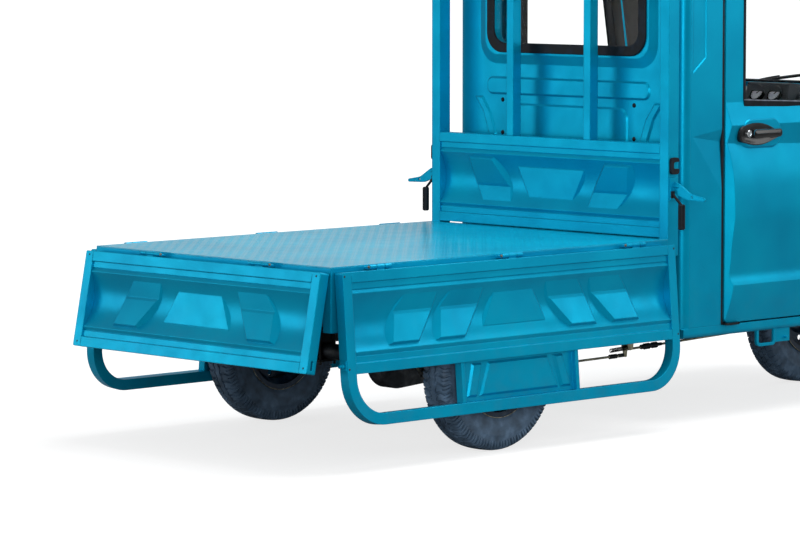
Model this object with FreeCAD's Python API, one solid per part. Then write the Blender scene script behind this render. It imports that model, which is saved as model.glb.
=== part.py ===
import FreeCAD, Part
import math
import os

# Three-wheeled drop-side cargo truck with an enclosed cab.
# Millimetres. While it is built, X = 0 is the deck's rear edge, Y = 0 the middle, Z = 0 the ground.
# +X points forward and +Y to the left. The finished parts are moved so that the origin is the
# middle of the whole truck's box, on the ground.

V = FreeCAD.Vector
CENTRE = V(0, 0, 0)

# Load deck
DECK_LENGTH = 1704.0
DECK_WIDTH = 1250.0
DECK_TOP = 704.0
DECK_SHEET = 4.0
DECK_RAIL_HEIGHT = 60.0
DECK_RAIL_WIDTH = 40.0
DECK_CROSS_COUNT = 6
CORNER_POST_LOW = 478.0
CORNER_POST_SIZE = 40.0

# Drop sides and tailgate
GATE_HEIGHT = 348.0
GATE_THICKNESS = 40.0
GATE_GAP = 5.0
GATE_TUBE = 40.0
GATE_RAIL = 33.0
GATE_END_GAP = 12.0
LOOP_HEIGHT = 182.0
LOOP_TUBE = 40.0
LOOP_RADIUS = 165.0
LOOP_PANEL_HALF = 296.0
SIDE_TILT = 4.6
TAIL_TILT = 11.2
HINGE_DROP = 7.0
HINGE_EDGE = 11.0
KNUCKLE_RADIUS = 8.0
PIN_RADIUS = 4.0
PIN_FIT = 0.08
KNUCKLE_LENGTH = 38.0
KNUCKLE_PLAY = 2.0
SIDE_HINGES = [-646.0, 0.0, 646.0]
TAIL_HINGES = [-290.0, 290.0]
STUD_RADIUS = 6.0
STUD_REACH = 22.0
LATCH_T = 318.0

# Section of the pressed sheet, from the gate's hinge edge (T) and from its front (DEPTH)
SHEET_THICKNESS = 2.5
BAND_T = 36.0
STRIP_T = 59.0
STRIP_DEPTH = 6.0
GROOVE_T = 61.0
GROOVE_DEPTH = 9.0
CREST_T = 74.0
CREST_DEPTH = 2.0
CREST_RADIUS = 3.0
CHANNEL_CORNER = 74.5
CHANNEL_RADIUS = 167.0

# Forms pressed into the sheet: half widths from the gate's middle at their near and far edges
BLOCK_NEAR = 84.0
BLOCK_FAR = 252.0
BLOCK_LEVEL = 13.0
BLOCK_FRONT = [(80.0, 11.0), (148.0, 27.0), (158.0, 22.5), (252.0, 1.5)]
FORM_DEPTH = 43.0
TRAP_NEAR = 115.0
TRAP_FAR = 228.0
TRAP_LEVEL = 24.0
SIDE_BLOCKS = [((154.0, 315.0), (257.0, 405.0)), ((381.0, 538.0), (482.0, 632.0))]
SIDE_TRAP = (98.0, 156.0)
TAIL_BLOCKS = [((202.0, 350.0), (286.0, 430.0))]
TAIL_TRAP = (115.0, 174.0)
PANEL_LEVEL = 22.0
PANEL_RISE = 8.0
PANEL_FLANGE = 16.0
PANEL_BLOCKS = [(179.0, 230.0), (213.0, 264.0)]
PANEL_TRAP = (151.0, 200.0)
PANEL_MARGIN = 8.0

# Headboard and ladder rack
HEADBOARD_LIFT = 4.0
HEADBOARD_LOW = DECK_TOP + HEADBOARD_LIFT
HEADBOARD_TOP = HEADBOARD_LOW + GATE_HEIGHT
STIFFENER_DEPTH = 38.2
END_POST_WIDTH = 44.0
END_POST_DEPTH = 56.0
MID_POST_WIDTH = 35.0
MID_POST_DEPTH = 42.0
MID_POST_Y = 203.0
RACK_TOP = 1745.0
RACK_BAR = 40.0

# Chassis
RAIL_Y = 300.0
RAIL_WIDTH = 50.0
RAIL_HEIGHT = 90.0
LOWER_RAIL_HEIGHT = 36.0
RAIL_REAR = 40.0
LEG_GAP = 4.0
BRACE_RADIUS = 19.0
EYE_CHEEK = 18.0

# Wheels
TYRE_RADIUS = 285.0
TYRE_WIDTH = 130.0
TREAD_WIDTH = 108.0
LUG_HEIGHT = 8.0
BEAD_RADIUS = 152.0
REAR_AXLE_X = 811.0
REAR_WHEEL_Y = DECK_WIDTH / 2 - 47.0
BEAD_HALF = 44.0
TYRE_WALL = 9.0
TYRE_LUGS = 22
TYRE_FLATS = 22
CROWN_HALF = 17.0
REAR_LUG_WIDTH = 26.0
REAR_LUG_SLANT = 20.0
FRONT_BLOCK_LENGTH = 46.0
HUB_BORE = 15.0
HUB_FIT = 0.08
WEB_HOLES = 8
WEB_HOLE_RADIUS = 11.0
WEB_HOLE_AT = 106.0
REAR_DISH = 12.0

# Cab
CAB_GAP = 114.0
CAB_REAR = DECK_LENGTH + CAB_GAP
CAB_HALF = 595.0
CAB_CORNER = 42.0
CAB_WALL = 26.0
CAB_FLOOR = 358.0
FLOOR_SHEET = 4.0
SILL_SIZE = 40.0
DOOR_LIFT = 6.0
CAB_ROOF = 1785.0
COWL_Z = 1150.0
FAR = 6000.0
QUARTER_LENGTH = 238.0
DOOR_LENGTH = 744.0
NOSE_LENGTH = 748.0
FRONT_OVERHANG = 344.0
DOOR_REAR = CAB_REAR + QUARTER_LENGTH
DOOR_FRONT = DOOR_REAR + DOOR_LENGTH
NOSE_FRONT = DOOR_FRONT + NOSE_LENGTH
DOOR_GAP = 7.0
SEAL_WIDTH = 12.0
DOOR_THICKNESS = 38.0
WINDOW_SILL = 1187.0
WINDOW_REAR = DOOR_REAR + 102.0
WINDOW_TOP = CAB_ROOF - 145.0
STEER_RAKE = 22.0
STEER_OFFSET = 28.0
DOOR_AXIS_X = DOOR_FRONT + (DOOR_GAP + SEAL_WIDTH) / 2
DOOR_AXIS_Y = CAB_HALF + 7.0
DOOR_HINGES = [520.0, 1040.0]
DOOR_TOP = WINDOW_TOP + 45.0
DOOR_LEAN = 95.0
WINDOW_MARGIN = 70.0
WINDOW_LEAN = 80.0
WINDOW_FALL = 18.0
# Door skin: height, bulge from the flat side, and whether the point falls with the crease towards the front
SKIN_LINE = [(1198.0, 0.0, False), (1111.0, 18.0, False), (1045.0, 5.0, True), (907.0, 25.0, False),
             (831.0, 28.0, False), (756.0, 28.0, False), (654.0, 20.0, False), (583.0, 16.0, False),
             (552.0, 14.0, False), (507.0, 25.0, False), (454.0, 19.0, False), (401.0, 9.0, False),
             (361.0, 0.0, False)]
SKIN_CREASE = 9
SKIN_ROOT = 5.0
SKIN_FACET = 32.0
CREASE_FALL = 26.0
HANDLE_REAR = 80.0
HANDLE_LENGTH = 218.0
HANDLE_Z = 1078.0
HANDLE_HALF = 50.0
HANDLE_OUT = 19.0

# Forms pressed into the cab's rear wall and quarter panels
SURROUND_HALF = 467.0
SURROUND_LOW = 1328.0
SURROUND_RISE = 12.0
SURROUND_SLOPE = 36.0
REAR_GLASS_HALF = 386.0
REAR_GLASS_LOW = 1404.0
RUBBER_LIP = 32.0
RUBBER_OUT = 8.0
WALL_RIB = (430.0, 1208.0, 1277.0)
WALL_PANEL = (318.0, 1176.0)
WALL_PRESS = 7.0
CURVED_RIB = [(475.0, 1199.0), (430.0, 1137.0), (400.0, 1057.0), (388.0, 960.0), (388.0, 800.0)]
CURVED_RIB_HALF = 22.0
RECESS_DEPTH = 4.0
DOOR_PIN = 3.0
BARREL_RADIUS = 7.0
BARREL_HEIGHT = 34.0
HEADLAMP_Y = 330.0
HEADLAMP_Z = 730.0
HEADLAMP_RADIUS = 78.0
SEAT_GAP = 0.3
SEAT_REAR = CAB_REAR + 82.0
SEAT_FRONT = SEAT_REAR + 450.0
SEAT_HALF = CAB_HALF - 115.0
SEAT_TOP = CAB_FLOOR + 282.0
DASH_REAR = NOSE_FRONT - 538.0
DASH_LOW = 800.0
DASH_TOP = 1195.0
DIAL_RADIUS = 32.0
DIAL_Y = 46.0
DIAL_Z = 1190.0
ARCH_RADIUS = 372.0
ARCH_HALF = 268.0
FLOOR_FRONT = DOOR_FRONT + 48.0
HEAD_RADIUS = 26.0
COLUMN_RADIUS = 16.0
HEAD_LOW = 650.0
HEAD_HIGH = 800.0
STEM_Z = 1030.0
STEM_RADIUS = 22.0
FORK_LEG = 19.0
FORK_BRIDGE = 17.0
FORK_SIDE_GAP = 26.0
FORK_TOP_GAP = 45.0
BAR_RADIUS = 11.0
BAR_BEND = 50.0

# Rear axle, its gear case and leaf springs
AXLE_Z = TYRE_RADIUS
AXLE_RADIUS = 30.0
DRUM_RADIUS = 92.0
DRUM_WIDTH = 30.0
GEAR_CASE_RADIUS = 62.0
SPRING_HALF = 430.0
SPRING_RISE = 70.0
LEAF_COUNT = 5
LEAF_THICKNESS = 7.0
LEAF_STEP = 0.17
EYE_RADIUS = 14.0
EYE_PIN = 7.0

# Axle motor with its cooling fins, spring clamps
MOTOR_AHEAD = 152.0
MOTOR_RADIUS = 74.0
MOTOR_END = 130.0
FIN_COUNT = 9
FIN_START = -52.0
FIN_PITCH = 20.0
FIN_THICKNESS = 6.0
FIN_HEIGHT = 8.0
CLAMP_HALF = 46.0
CLAMP_MARGIN = 14.0
CLAMP_PLATE = 8.0
CLAMP_BOLT_X = 36.0

# Brake linkage: pedal, pivots and rods
BRAKE_Y = -245.0
BRAKE_ROD = 4.5
PIVOT_X = CAB_REAR + 67.0
PIVOT_Z = 262.0
LEVER_LENGTH = 34.0
PEDAL_X = DOOR_FRONT - 150.0
PEDAL_Z = 296.0
PEDAL_RISE = 190.0

# Gate latches, tail lamps, steps
LATCH_Z = 900.0
HORN_REACH = 159.0
GRIP_RADIUS = 13.0
TAIL_LAMP_Y = 450.0
TAIL_LAMP_HALF = 50.0
TAIL_LAMP_HEIGHT = 70.0
STEP_X = DOOR_REAR + 200.0
STEP_LENGTH = 112.0
STEP_DROP = 60.0
STEP_BAR = 12.0

# Cab's side line: how far behind the nose and how far below the roof its corners lie
NOSE_TUCK = 18.0
NOSE_BELLY_Z = 700.0
NOSE_TAPER = 45.0
SCREEN_FOOT = 158.0
SCREEN_HEAD = 458.0
ROOF_FALL = 40.0
ROOF_REAR_FALL = 45.0
ROOF_CREST = DOOR_REAR + 444.0
ROOF_SEAM = CAB_ROOF - 95.0
SIDE_BOW = 900.0
SCREEN_MARGIN = 85.0
SCREEN_LOW = COWL_Z + 65.0
SCREEN_TOP = CAB_ROOF - 130.0
BUMPER_LOW = 415.0
BUMPER_HEIGHT = 100.0
BUMPER_RETURN = 298.0
BUMPER_OUT = 16.0
MIRROR_X = DOOR_FRONT + 205.0
MIRROR_LOW = 1230.0
MIRROR_HEIGHT = 170.0
MIRROR_WIDTH = 90.0
MIRROR_ARM = 8.0

# Seat, battery and dashboard inside the cab
CUSHION_HEIGHT = 100.0
CUSHION_NOSE = 30.0
SEAT_ROUND = 24.0
BACK_LOW = SEAT_TOP + 130.0
BACK_HIGH = SEAT_TOP + 560.0
BACK_THICKNESS = 95.0
SEAT_SHEET = 4.0
BATTERY_HALF = 400.0
BATTERY_HEIGHT = 240.0
DASH_DEPTH = 410.0
ARCH_SHEET = 3.0

# Values that follow from those above
LOWER_RAIL_TOP = CAB_FLOOR - FLOOR_SHEET
EYE_Z = AXLE_Z + AXLE_RADIUS + LEAF_COUNT * LEAF_THICKNESS + SPRING_RISE - EYE_RADIUS + LEAF_THICKNESS
SIDE_GATE_MIDDLE = DECK_LENGTH / 2
FRONT_AXLE_X = NOSE_FRONT - FRONT_OVERHANG
DECK_HALF = DECK_WIDTH / 2
PLATE_LOW = DECK_TOP - DECK_SHEET
DECK_RAIL_LOW = PLATE_LOW - DECK_RAIL_HEIGHT
HINGE_Z = DECK_TOP - HINGE_DROP
HINGE_OUT = GATE_GAP + GATE_THICKNESS / 2
SIDE_GATE_LENGTH = DECK_LENGTH - 2 * GATE_END_GAP
RAIL_TOP = DECK_RAIL_LOW
RAIL_LOW = RAIL_TOP - RAIL_HEIGHT
LOWER_RAIL_LOW = LOWER_RAIL_TOP - LOWER_RAIL_HEIGHT
UNDERFRAME_FRONT = DOOR_FRONT + 60.0


def box(x0, x1, y0, y1, z0, z1):
    """Block between two corners."""
    return Part.makeBox(x1 - x0, y1 - y0, z1 - z0, V(x0, y0, z0))


def rod(start, end, radius):
    """Round bar between two points."""
    run = V(*end) - V(*start)
    return Part.makeCylinder(radius, run.Length, V(*start), run)


def joined(shapes):
    """Fuse a list of shapes into one clean solid."""
    first = shapes[0]
    if len(shapes) > 1:
        first = first.fuse(shapes[1:])
    return first.removeSplitter()


def set_apart(shapes):
    """Keep several solids that don't touch as one part."""
    return Part.makeCompound(shapes)


def both_sides(shape):
    """A shape with its mirror image on the other side."""
    return set_apart([shape, shape.mirror(CENTRE, V(0, 1, 0))])


def rounded_wire(corners, closed=True):
    """Outline through (x, y, z, radius) corners with tangent arcs; an open line's ends stay sharp."""
    count = len(corners)
    ends = []
    for i in range(count):
        here = V(*corners[i][:3])
        radius = corners[i][3]
        if radius <= 0 or not (closed or 0 < i < count - 1):
            ends.append((here, None, here))
            continue
        back = (V(*corners[i - 1][:3]) - here).normalize()
        ahead = (V(*corners[(i + 1) % count][:3]) - here).normalize()
        half = back.getAngle(ahead) / 2
        run = radius / math.tan(half)
        middle = (back + ahead).normalize()
        crown = here + middle * (radius / math.sin(half) - radius)
        ends.append((here + back * run, crown, here + ahead * run))
    edges = []
    for i in range(count if closed else count - 1):
        start, crown, end = ends[i]
        if crown is not None:
            edges.append(Part.Arc(start, crown, end).toShape())
        following = ends[(i + 1) % count][0]
        if end.distanceToPoint(following) > 0.001:
            edges.append(Part.makeLine(end, following))
    return Part.Wire(edges)


def plate(corners, run):
    """Flat outline of rounded corners pushed along a vector."""
    return Part.Face(rounded_wire(corners)).extrude(V(*run))


def plate_xz(corners, y0, y1):
    """Plate whose outline lies in XZ, between two Y planes."""
    return plate([(c[0], y0, c[1], c[2] if len(c) > 2 else 0) for c in corners], (0, y1 - y0, 0))


def plate_yz(corners, x0, x1):
    """Plate whose outline lies in YZ, between two X planes."""
    return plate([(x0, c[0], c[1], c[2] if len(c) > 2 else 0) for c in corners], (x1 - x0, 0, 0))


def plate_xy(corners, z0, z1):
    """Plate whose outline lies in XY, between two Z planes."""
    return plate([(c[0], c[1], z0, c[2] if len(c) > 2 else 0) for c in corners], (0, 0, z1 - z0))


def rectangle(a0, a1, b0, b1, radius=0.0):
    """Four corners of a rectangle with one radius."""
    return [(a0, b0, radius), (a1, b0, radius), (a1, b1, radius), (a0, b1, radius)]


def bent_tube(points, radius, bend):
    """Round tube along straight runs joined by arcs."""
    nodes = [V(*p) for p in points]
    edges = []
    start = nodes[0]
    for i in range(1, len(nodes) - 1):
        back = (nodes[i - 1] - nodes[i]).normalize()
        ahead = (nodes[i + 1] - nodes[i]).normalize()
        half = back.getAngle(ahead) / 2
        run = bend / math.tan(half)
        crown = nodes[i] + (back + ahead).normalize() * (bend / math.sin(half) - bend)
        edges.append(Part.makeLine(start, nodes[i] + back * run))
        edges.append(Part.Arc(nodes[i] + back * run, crown, nodes[i] + ahead * run).toShape())
        start = nodes[i] + ahead * run
    edges.append(Part.makeLine(start, nodes[-1]))
    profile = Part.Wire(Part.makeCircle(radius, nodes[0], nodes[1] - nodes[0]))
    return Part.Wire(edges).makePipeShell([profile], True, True)


def frustum(low, high):
    """Flat-faced solid between two outlines of points that have parallel sides."""
    count = len(low)
    faces = [low, high]
    for i in range(count):
        j = (i + 1) % count
        faces.append([low[i], low[j], high[j], high[i]])
    solid = Part.makeSolid(Part.makeShell([Part.Face(Part.makePolygon(f + [f[0]])) for f in faces]))
    if solid.Volume < 0:
        solid.reverse()
    return solid


def inset_polygon(corners, distance):
    """Polygon of (a, b) corners with every side moved inwards by a distance, outwards if negative."""
    count = len(corners)
    area = sum(corners[i - 1][0] * corners[i][1] - corners[i][0] * corners[i - 1][1] for i in range(count))
    turn = distance if area > 0 else -distance
    moved = []
    for i in range(count):
        a, b = corners[i]
        normals = []
        for (a0, b0), (a1, b1) in ((corners[i - 1], corners[i]), (corners[i], corners[(i + 1) % count])):
            length = math.hypot(a1 - a0, b1 - b0)
            normals.append((-(b1 - b0) / length, (a1 - a0) / length))
        (na, nb), (ma, mb) = normals
        share = turn / (1 + na * ma + nb * mb)
        moved.append((a + (na + ma) * share, b + (nb + mb) * share))
    return moved


def gate_point(s, t, depth):
    """Point of a hanging gate: s from its middle, t down from its hinge edge, depth behind its front."""
    return V(s, depth - GATE_THICKNESS / 2, -HINGE_EDGE - t)


def bevelled(outline, level, deep, high):
    """Block in a gate with sides at 45 degrees: its (s, t) outline holds at one level."""
    low_loop = [gate_point(s, t, deep) for s, t in inset_polygon(outline, level - deep)]
    high_loop = [gate_point(s, t, high) for s, t in inset_polygon(outline, level - high)]
    return frustum(low_loop, high_loop)


def sheet_section():
    """(t, depth, radius) corners of the pressed sheet's front line, the same from both of its edges."""
    edge = [(0.0, 0.0, 0.0), (BAND_T, 0.0, 0.0), (BAND_T + 1.5, STRIP_DEPTH, 0.0),
            (STRIP_T, STRIP_DEPTH, 0.0), (GROOVE_T, GROOVE_DEPTH, 0.0), (CREST_T, CREST_DEPTH, CREST_RADIUS)]
    channel = [(GATE_HEIGHT / 2, CHANNEL_CORNER, CHANNEL_RADIUS)]
    return edge + channel + [(GATE_HEIGHT - t, depth, radius) for t, depth, radius in reversed(edge)]


def section_corners(half, behind):
    """The sheet's front line as corners at one end of a gate, moved a little behind its face."""
    corners = []
    for t, depth, radius in sheet_section():
        point = gate_point(-half, t, depth + behind)
        corners.append((point.x, point.y, point.z, radius))
    return corners


def slanted(near, far, side):
    """One slanted two-part block between its near and far edges, on one side of the middle."""
    beyond = (BLOCK_LEVEL - CREST_DEPTH) / (BLOCK_FAR - BLOCK_NEAR)
    end = [f + (f - n) * beyond for n, f in zip(near, far)]
    far_t = BLOCK_FAR + (BLOCK_FAR - BLOCK_NEAR) * beyond
    outline = [(side * near[0], BLOCK_NEAR), (side * near[1], BLOCK_NEAR), (side * end[1], far_t),
               (side * end[0], far_t)]
    block = bevelled(outline, BLOCK_LEVEL, FORM_DEPTH, -FORM_DEPTH / 8)
    reach = 2 * max(far)
    first, last = BLOCK_FRONT[0], BLOCK_FRONT[-1]
    line = BLOCK_FRONT + [(last[0] + FORM_DEPTH, last[1]), (last[0] + FORM_DEPTH, 2 * FORM_DEPTH),
                          (first[0], 2 * FORM_DEPTH)]
    points = [gate_point(-reach, t, depth) for t, depth in line]
    relief = Part.Face(Part.makePolygon(points + [points[0]])).extrude(V(2 * reach, 0, 0))
    return block.common(relief)


def trapezoid(half_widths):
    """Central pressed trapezoid: a flat face across the sheet's channel."""
    near, far = half_widths
    outline = [(-near, TRAP_NEAR), (near, TRAP_NEAR), (far, TRAP_FAR), (-far, TRAP_FAR)]
    return bevelled(outline, TRAP_LEVEL, FORM_DEPTH, TRAP_LEVEL)


def gate_panel(half, blocks, trap):
    """Pressed sheet of a gate, hollow behind its forms, hanging, with its hinge axis on X at the origin."""
    line = rounded_wire(section_corners(half, 0.0), closed=False)
    sheet = line.makeOffset2D(-SHEET_THICKNESS, 2, True, True, False).extrude(V(2 * half, 0, 0))
    middle = section_corners(half, SHEET_THICKNESS / 2)
    for t in (GATE_HEIGHT, 0.0):
        point = gate_point(-half, t, -FORM_DEPTH)
        middle.append((point.x, point.y, point.z, 0.0))
    front_zone = Part.Face(rounded_wire(middle)).extrude(V(2 * half, 0, 0))
    forms = [trapezoid(trap)]
    for near, far in blocks:
        for side in (-1, 1):
            forms.append(slanted(near, far, side))
    raised = [form.common(front_zone) for form in forms]
    hollows = [at(form, 0, SHEET_THICKNESS, 0) for form in forms]
    return sheet.fuse(raised).cut(hollows).removeSplitter()


def loop_panel():
    """Small pressed plate with end flanges in the middle of the gate's loop, hanging."""
    near_t = GATE_HEIGHT
    far_t = GATE_HEIGHT + LOOP_HEIGHT - LOOP_TUBE
    half = LOOP_PANEL_HALF
    inner = half - PANEL_FLANGE
    corners = [(-half, 4), (-inner, 4), (-inner, PANEL_LEVEL), (inner, PANEL_LEVEL), (inner, 4), (half, 4),
               (half, 36), (inner, 36), (inner, PANEL_LEVEL + SHEET_THICKNESS),
               (-inner, PANEL_LEVEL + SHEET_THICKNESS), (-inner, 36), (-half, 36)]
    points = [gate_point(s, near_t, depth) for s, depth in corners]
    plate_body = Part.Face(Part.makePolygon(points + [points[0]])).extrude(V(0, 0, near_t - far_t))
    low = near_t + PANEL_MARGIN
    high = far_t - 2 * PANEL_MARGIN
    outlines = [[(-PANEL_TRAP[0], low), (PANEL_TRAP[0], low), (PANEL_TRAP[1], high), (-PANEL_TRAP[1], high)]]
    for side in (-1, 1):
        (a, b), (c, d) = PANEL_BLOCKS
        outlines.append([(side * a, low), (side * b, low), (side * d, high), (side * c, high)])
    forms = [bevelled(outline, PANEL_LEVEL, PANEL_LEVEL, PANEL_LEVEL - PANEL_RISE) for outline in outlines]
    hollows = []
    for outline in outlines:
        hollows.append(bevelled(inset_polygon(outline, SHEET_THICKNESS), PANEL_LEVEL + SHEET_THICKNESS,
                                PANEL_LEVEL + SHEET_THICKNESS, PANEL_LEVEL + SHEET_THICKNESS - PANEL_RISE))
    return plate_body.fuse(forms).cut(hollows).removeSplitter()


def gate_frame(length, hinge_places, with_loop):
    """Tube frame, with the rail's loop on a side gate, hanging, with its hinge axis on X at the origin."""
    half = length / 2
    inner = half - GATE_TUBE
    near = -HINGE_EDGE
    seam = near - GATE_HEIGHT
    far = seam - LOOP_HEIGHT
    back = GATE_THICKNESS / 2
    front = -back
    cuts = [plate_xz(rectangle(-inner, inner, seam + GATE_RAIL, near - GATE_RAIL), front, back)]
    for low in (seam, near - GATE_RAIL):
        cuts.append(box(-inner, inner, front, front + SHEET_THICKNESS, low, low + GATE_RAIL))
    if with_loop:
        body = plate_xz([(-half, near, 6), (half, near, 6), (half, far, LOOP_RADIUS),
                         (-half, far, LOOP_RADIUS)], front, back)
        gap_radius = LOOP_RADIUS - LOOP_TUBE
        cuts.append(box(-LOOP_PANEL_HALF, LOOP_PANEL_HALF, front, back, far + LOOP_TUBE, seam))
        for side in (-1, 1):
            outer = side * inner
            panel = side * LOOP_PANEL_HALF
            cuts.append(plate_xz([(panel, seam), (outer, seam), (outer, far + LOOP_TUBE, gap_radius),
                                  (panel, far + LOOP_TUBE)], front, back))
    else:
        body = plate_xz(rectangle(-half, half, seam, near, 6), front, back)
        for side in (-1, 1):
            s0, s1 = sorted((side * half, side * (half - STUD_REACH)))
            cuts.append(box(s0, s1, -5, 5, near - LATCH_T - 16, near - LATCH_T + 16))
    parts = [body.cut(cuts)]
    if with_loop:
        stud = gate_point(-half, LATCH_T, GATE_THICKNESS / 2)
        parts.append(rod((stud.x + 1, stud.y, stud.z), (stud.x - STUD_REACH, stud.y, stud.z), STUD_RADIUS))
        parts.append(box(stud.x - 3, stud.x, -14, 14, stud.z - 18, stud.z + 18))
    for place in hinge_places:
        half_barrel = KNUCKLE_LENGTH / 2
        barrel = rod((place - half_barrel, 0, 0), (place + half_barrel, 0, 0), KNUCKLE_RADIUS)
        web = box(place - half_barrel, place + half_barrel, -4, 4, near - 2, 0)
        parts.append(barrel.fuse(web))
    body = joined(parts)
    bores = [rod((p - KNUCKLE_LENGTH, 0, 0), (p + KNUCKLE_LENGTH, 0, 0), PIN_RADIUS + PIN_FIT)
             for p in hinge_places]
    return body.cut(bores).removeSplitter()


def hinge_on_deck(place):
    """Fixed half of one hinge: two outer knuckles on lugs and the pin, axis on X at the origin."""
    near = KNUCKLE_LENGTH / 2 + KNUCKLE_PLAY
    far = near + KNUCKLE_LENGTH * 0.8
    shapes = [rod((place - far, 0, 0), (place + far, 0, 0), PIN_RADIUS)]
    for side in (-1, 1):
        a, b = sorted((place + side * near, place + side * far))
        shapes.append(rod((a, 0, 0), (b, 0, 0), KNUCKLE_RADIUS))
        shapes.append(box(a, b, 0, HINGE_OUT + 1, -KNUCKLE_RADIUS, 0))
    return joined(shapes)


def place_side(shape, tilt):
    """Turn a hanging gate part outwards and carry it to the right side's hinge line."""
    shape = shape.copy()
    shape.rotate(CENTRE, V(1, 0, 0), -tilt)
    shape.translate(V(SIDE_GATE_MIDDLE, -DECK_HALF - HINGE_OUT, HINGE_Z))
    return shape


def place_tail(shape, tilt):
    """Turn a hanging gate part outwards and carry it to the tailgate's hinge line."""
    shape = shape.copy()
    shape.rotate(CENTRE, V(1, 0, 0), -tilt)
    shape.rotate(CENTRE, V(0, 0, 1), -90)
    shape.translate(V(-HINGE_OUT, 0, HINGE_Z))
    return shape


def make_gates():
    """Both drop sides and the tailgate, each a frame and its pressed sheets."""
    parts = {}
    frame = place_side(gate_frame(SIDE_GATE_LENGTH, SIDE_HINGES, True), SIDE_TILT)
    pressed = gate_panel(SIDE_GATE_LENGTH / 2 - GATE_TUBE, SIDE_BLOCKS, SIDE_TRAP)
    sheets = set_apart([place_side(pressed, SIDE_TILT), place_side(loop_panel(), SIDE_TILT)])
    parts["right_gate_frame"] = frame
    parts["right_gate_sheets"] = sheets
    parts["left_gate_frame"] = frame.mirror(CENTRE, V(0, 1, 0))
    parts["left_gate_sheets"] = sheets.mirror(CENTRE, V(0, 1, 0))
    parts["tailgate_frame"] = place_tail(gate_frame(DECK_WIDTH, TAIL_HINGES, False), TAIL_TILT)
    pressed = gate_panel(DECK_HALF - GATE_TUBE, TAIL_BLOCKS, TAIL_TRAP)
    parts["tailgate_sheet"] = place_tail(pressed, TAIL_TILT)
    return parts


def make_deck():
    """Deck plate, its tube frame with hinges and corner posts, and the chassis rails."""
    half = DECK_HALF
    low = DECK_RAIL_LOW
    w = DECK_RAIL_WIDTH
    frame = [box(0, DECK_LENGTH, -half, -half + w, low, PLATE_LOW),
             box(0, DECK_LENGTH, half - w, half, low, PLATE_LOW)]
    pitch = (DECK_LENGTH - w) / (DECK_CROSS_COUNT - 1)
    for i in range(DECK_CROSS_COUNT):
        frame.append(box(i * pitch, i * pitch + w, -half, half, low, PLATE_LOW))
    for side in (-1, 1):
        y0, y1 = sorted((side * half, side * (half - CORNER_POST_SIZE)))
        frame.append(box(0, CORNER_POST_SIZE, y0, y1, CORNER_POST_LOW, low))
    for place in SIDE_HINGES:
        hinge = place_side(hinge_on_deck(place), 0)
        frame.append(hinge)
        frame.append(hinge.mirror(CENTRE, V(0, 1, 0)))
    for place in TAIL_HINGES:
        frame.append(place_tail(hinge_on_deck(place), 0))
    parts = {"deck_frame": joined(frame),
             "deck_plate": box(0, DECK_LENGTH, -half, half, PLATE_LOW, DECK_TOP)}
    return parts


def make_headboard():
    """Headboard with its frame and pressed sheet, and the ladder rack above it."""
    rear = DECK_LENGTH
    inner = DECK_HALF - END_POST_WIDTH
    parts = {}
    frame = [box(rear + SHEET_THICKNESS, rear + MID_POST_DEPTH, -inner, inner, z, z + GATE_RAIL)
             for z in (HEADBOARD_LOW, HEADBOARD_TOP - GATE_RAIL)]
    half_post = MID_POST_WIDTH / 2
    for y in (-MID_POST_Y, MID_POST_Y):
        frame.append(box(rear + STIFFENER_DEPTH, rear + END_POST_DEPTH, y - half_post, y + half_post,
                         HEADBOARD_LOW, HEADBOARD_TOP))
    parts["headboard_frame"] = joined(frame)
    sheet = gate_panel(inner, TAIL_BLOCKS, TAIL_TRAP)
    sheet.rotate(CENTRE, V(0, 1, 0), 180)
    sheet.rotate(CENTRE, V(0, 0, 1), -90)
    sheet.translate(V(rear + GATE_THICKNESS / 2, 0, HEADBOARD_LOW - HINGE_EDGE))
    parts["headboard_sheet"] = sheet
    rack = []
    for side in (-1, 1):
        y0, y1 = sorted((side * inner, side * DECK_HALF))
        rack.append(box(rear, rear + END_POST_DEPTH, y0, y1, DECK_RAIL_LOW, RACK_TOP))
        y = side * MID_POST_Y
        rack.append(box(rear + 6, rear + 6 + MID_POST_DEPTH, y - half_post, y + half_post, HEADBOARD_TOP,
                        RACK_TOP))
    rack.append(box(rear + 8, rear + 8 + RACK_BAR, -inner, inner, RACK_TOP - RACK_BAR, RACK_TOP))
    latch = gate_latch()
    rack += [latch, latch.mirror(CENTRE, V(0, 1, 0))]
    parts["ladder_rack"] = joined(rack)
    parts["gate_latches"] = both_sides(set_apart(latch_hook()))
    lamps = []
    for side in (-1, 1):
        y0, y1 = side * TAIL_LAMP_Y - TAIL_LAMP_HALF, side * TAIL_LAMP_Y + TAIL_LAMP_HALF
        lamp = box(6, 34, y0, y1, DECK_RAIL_LOW - TAIL_LAMP_HEIGHT, DECK_RAIL_LOW)
        low_edges = [e for e in lamp.Edges if max(v.Z for v in e.Vertexes) < DECK_RAIL_LOW - 1]
        lamps.append(lamp.makeFillet(8, low_edges))
    parts["tail_lamps"] = set_apart(lamps)
    return parts


def flat_ring(profile, count):
    """Ring with count flat sides about Y: one pitch of a straight extrusion, cut to a wedge and repeated."""
    pitch = 360.0 / count
    reach = 2 * TYRE_RADIUS
    points = [V(-reach, y, -r) for y, r in profile]
    bar = Part.Face(Part.makePolygon(points + [points[0]])).extrude(V(2 * reach, 0, 0))
    spread = reach * math.tan(math.radians(pitch / 2))
    segment = bar.common(plate_xz([(0, 0), (-spread, -reach), (spread, -reach)], -reach, reach))
    turned = []
    for i in range(count):
        copy = segment.copy()
        copy.rotate(CENTRE, V(0, 1, 0), i * pitch)
        turned.append(copy)
    return joined(turned)


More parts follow.
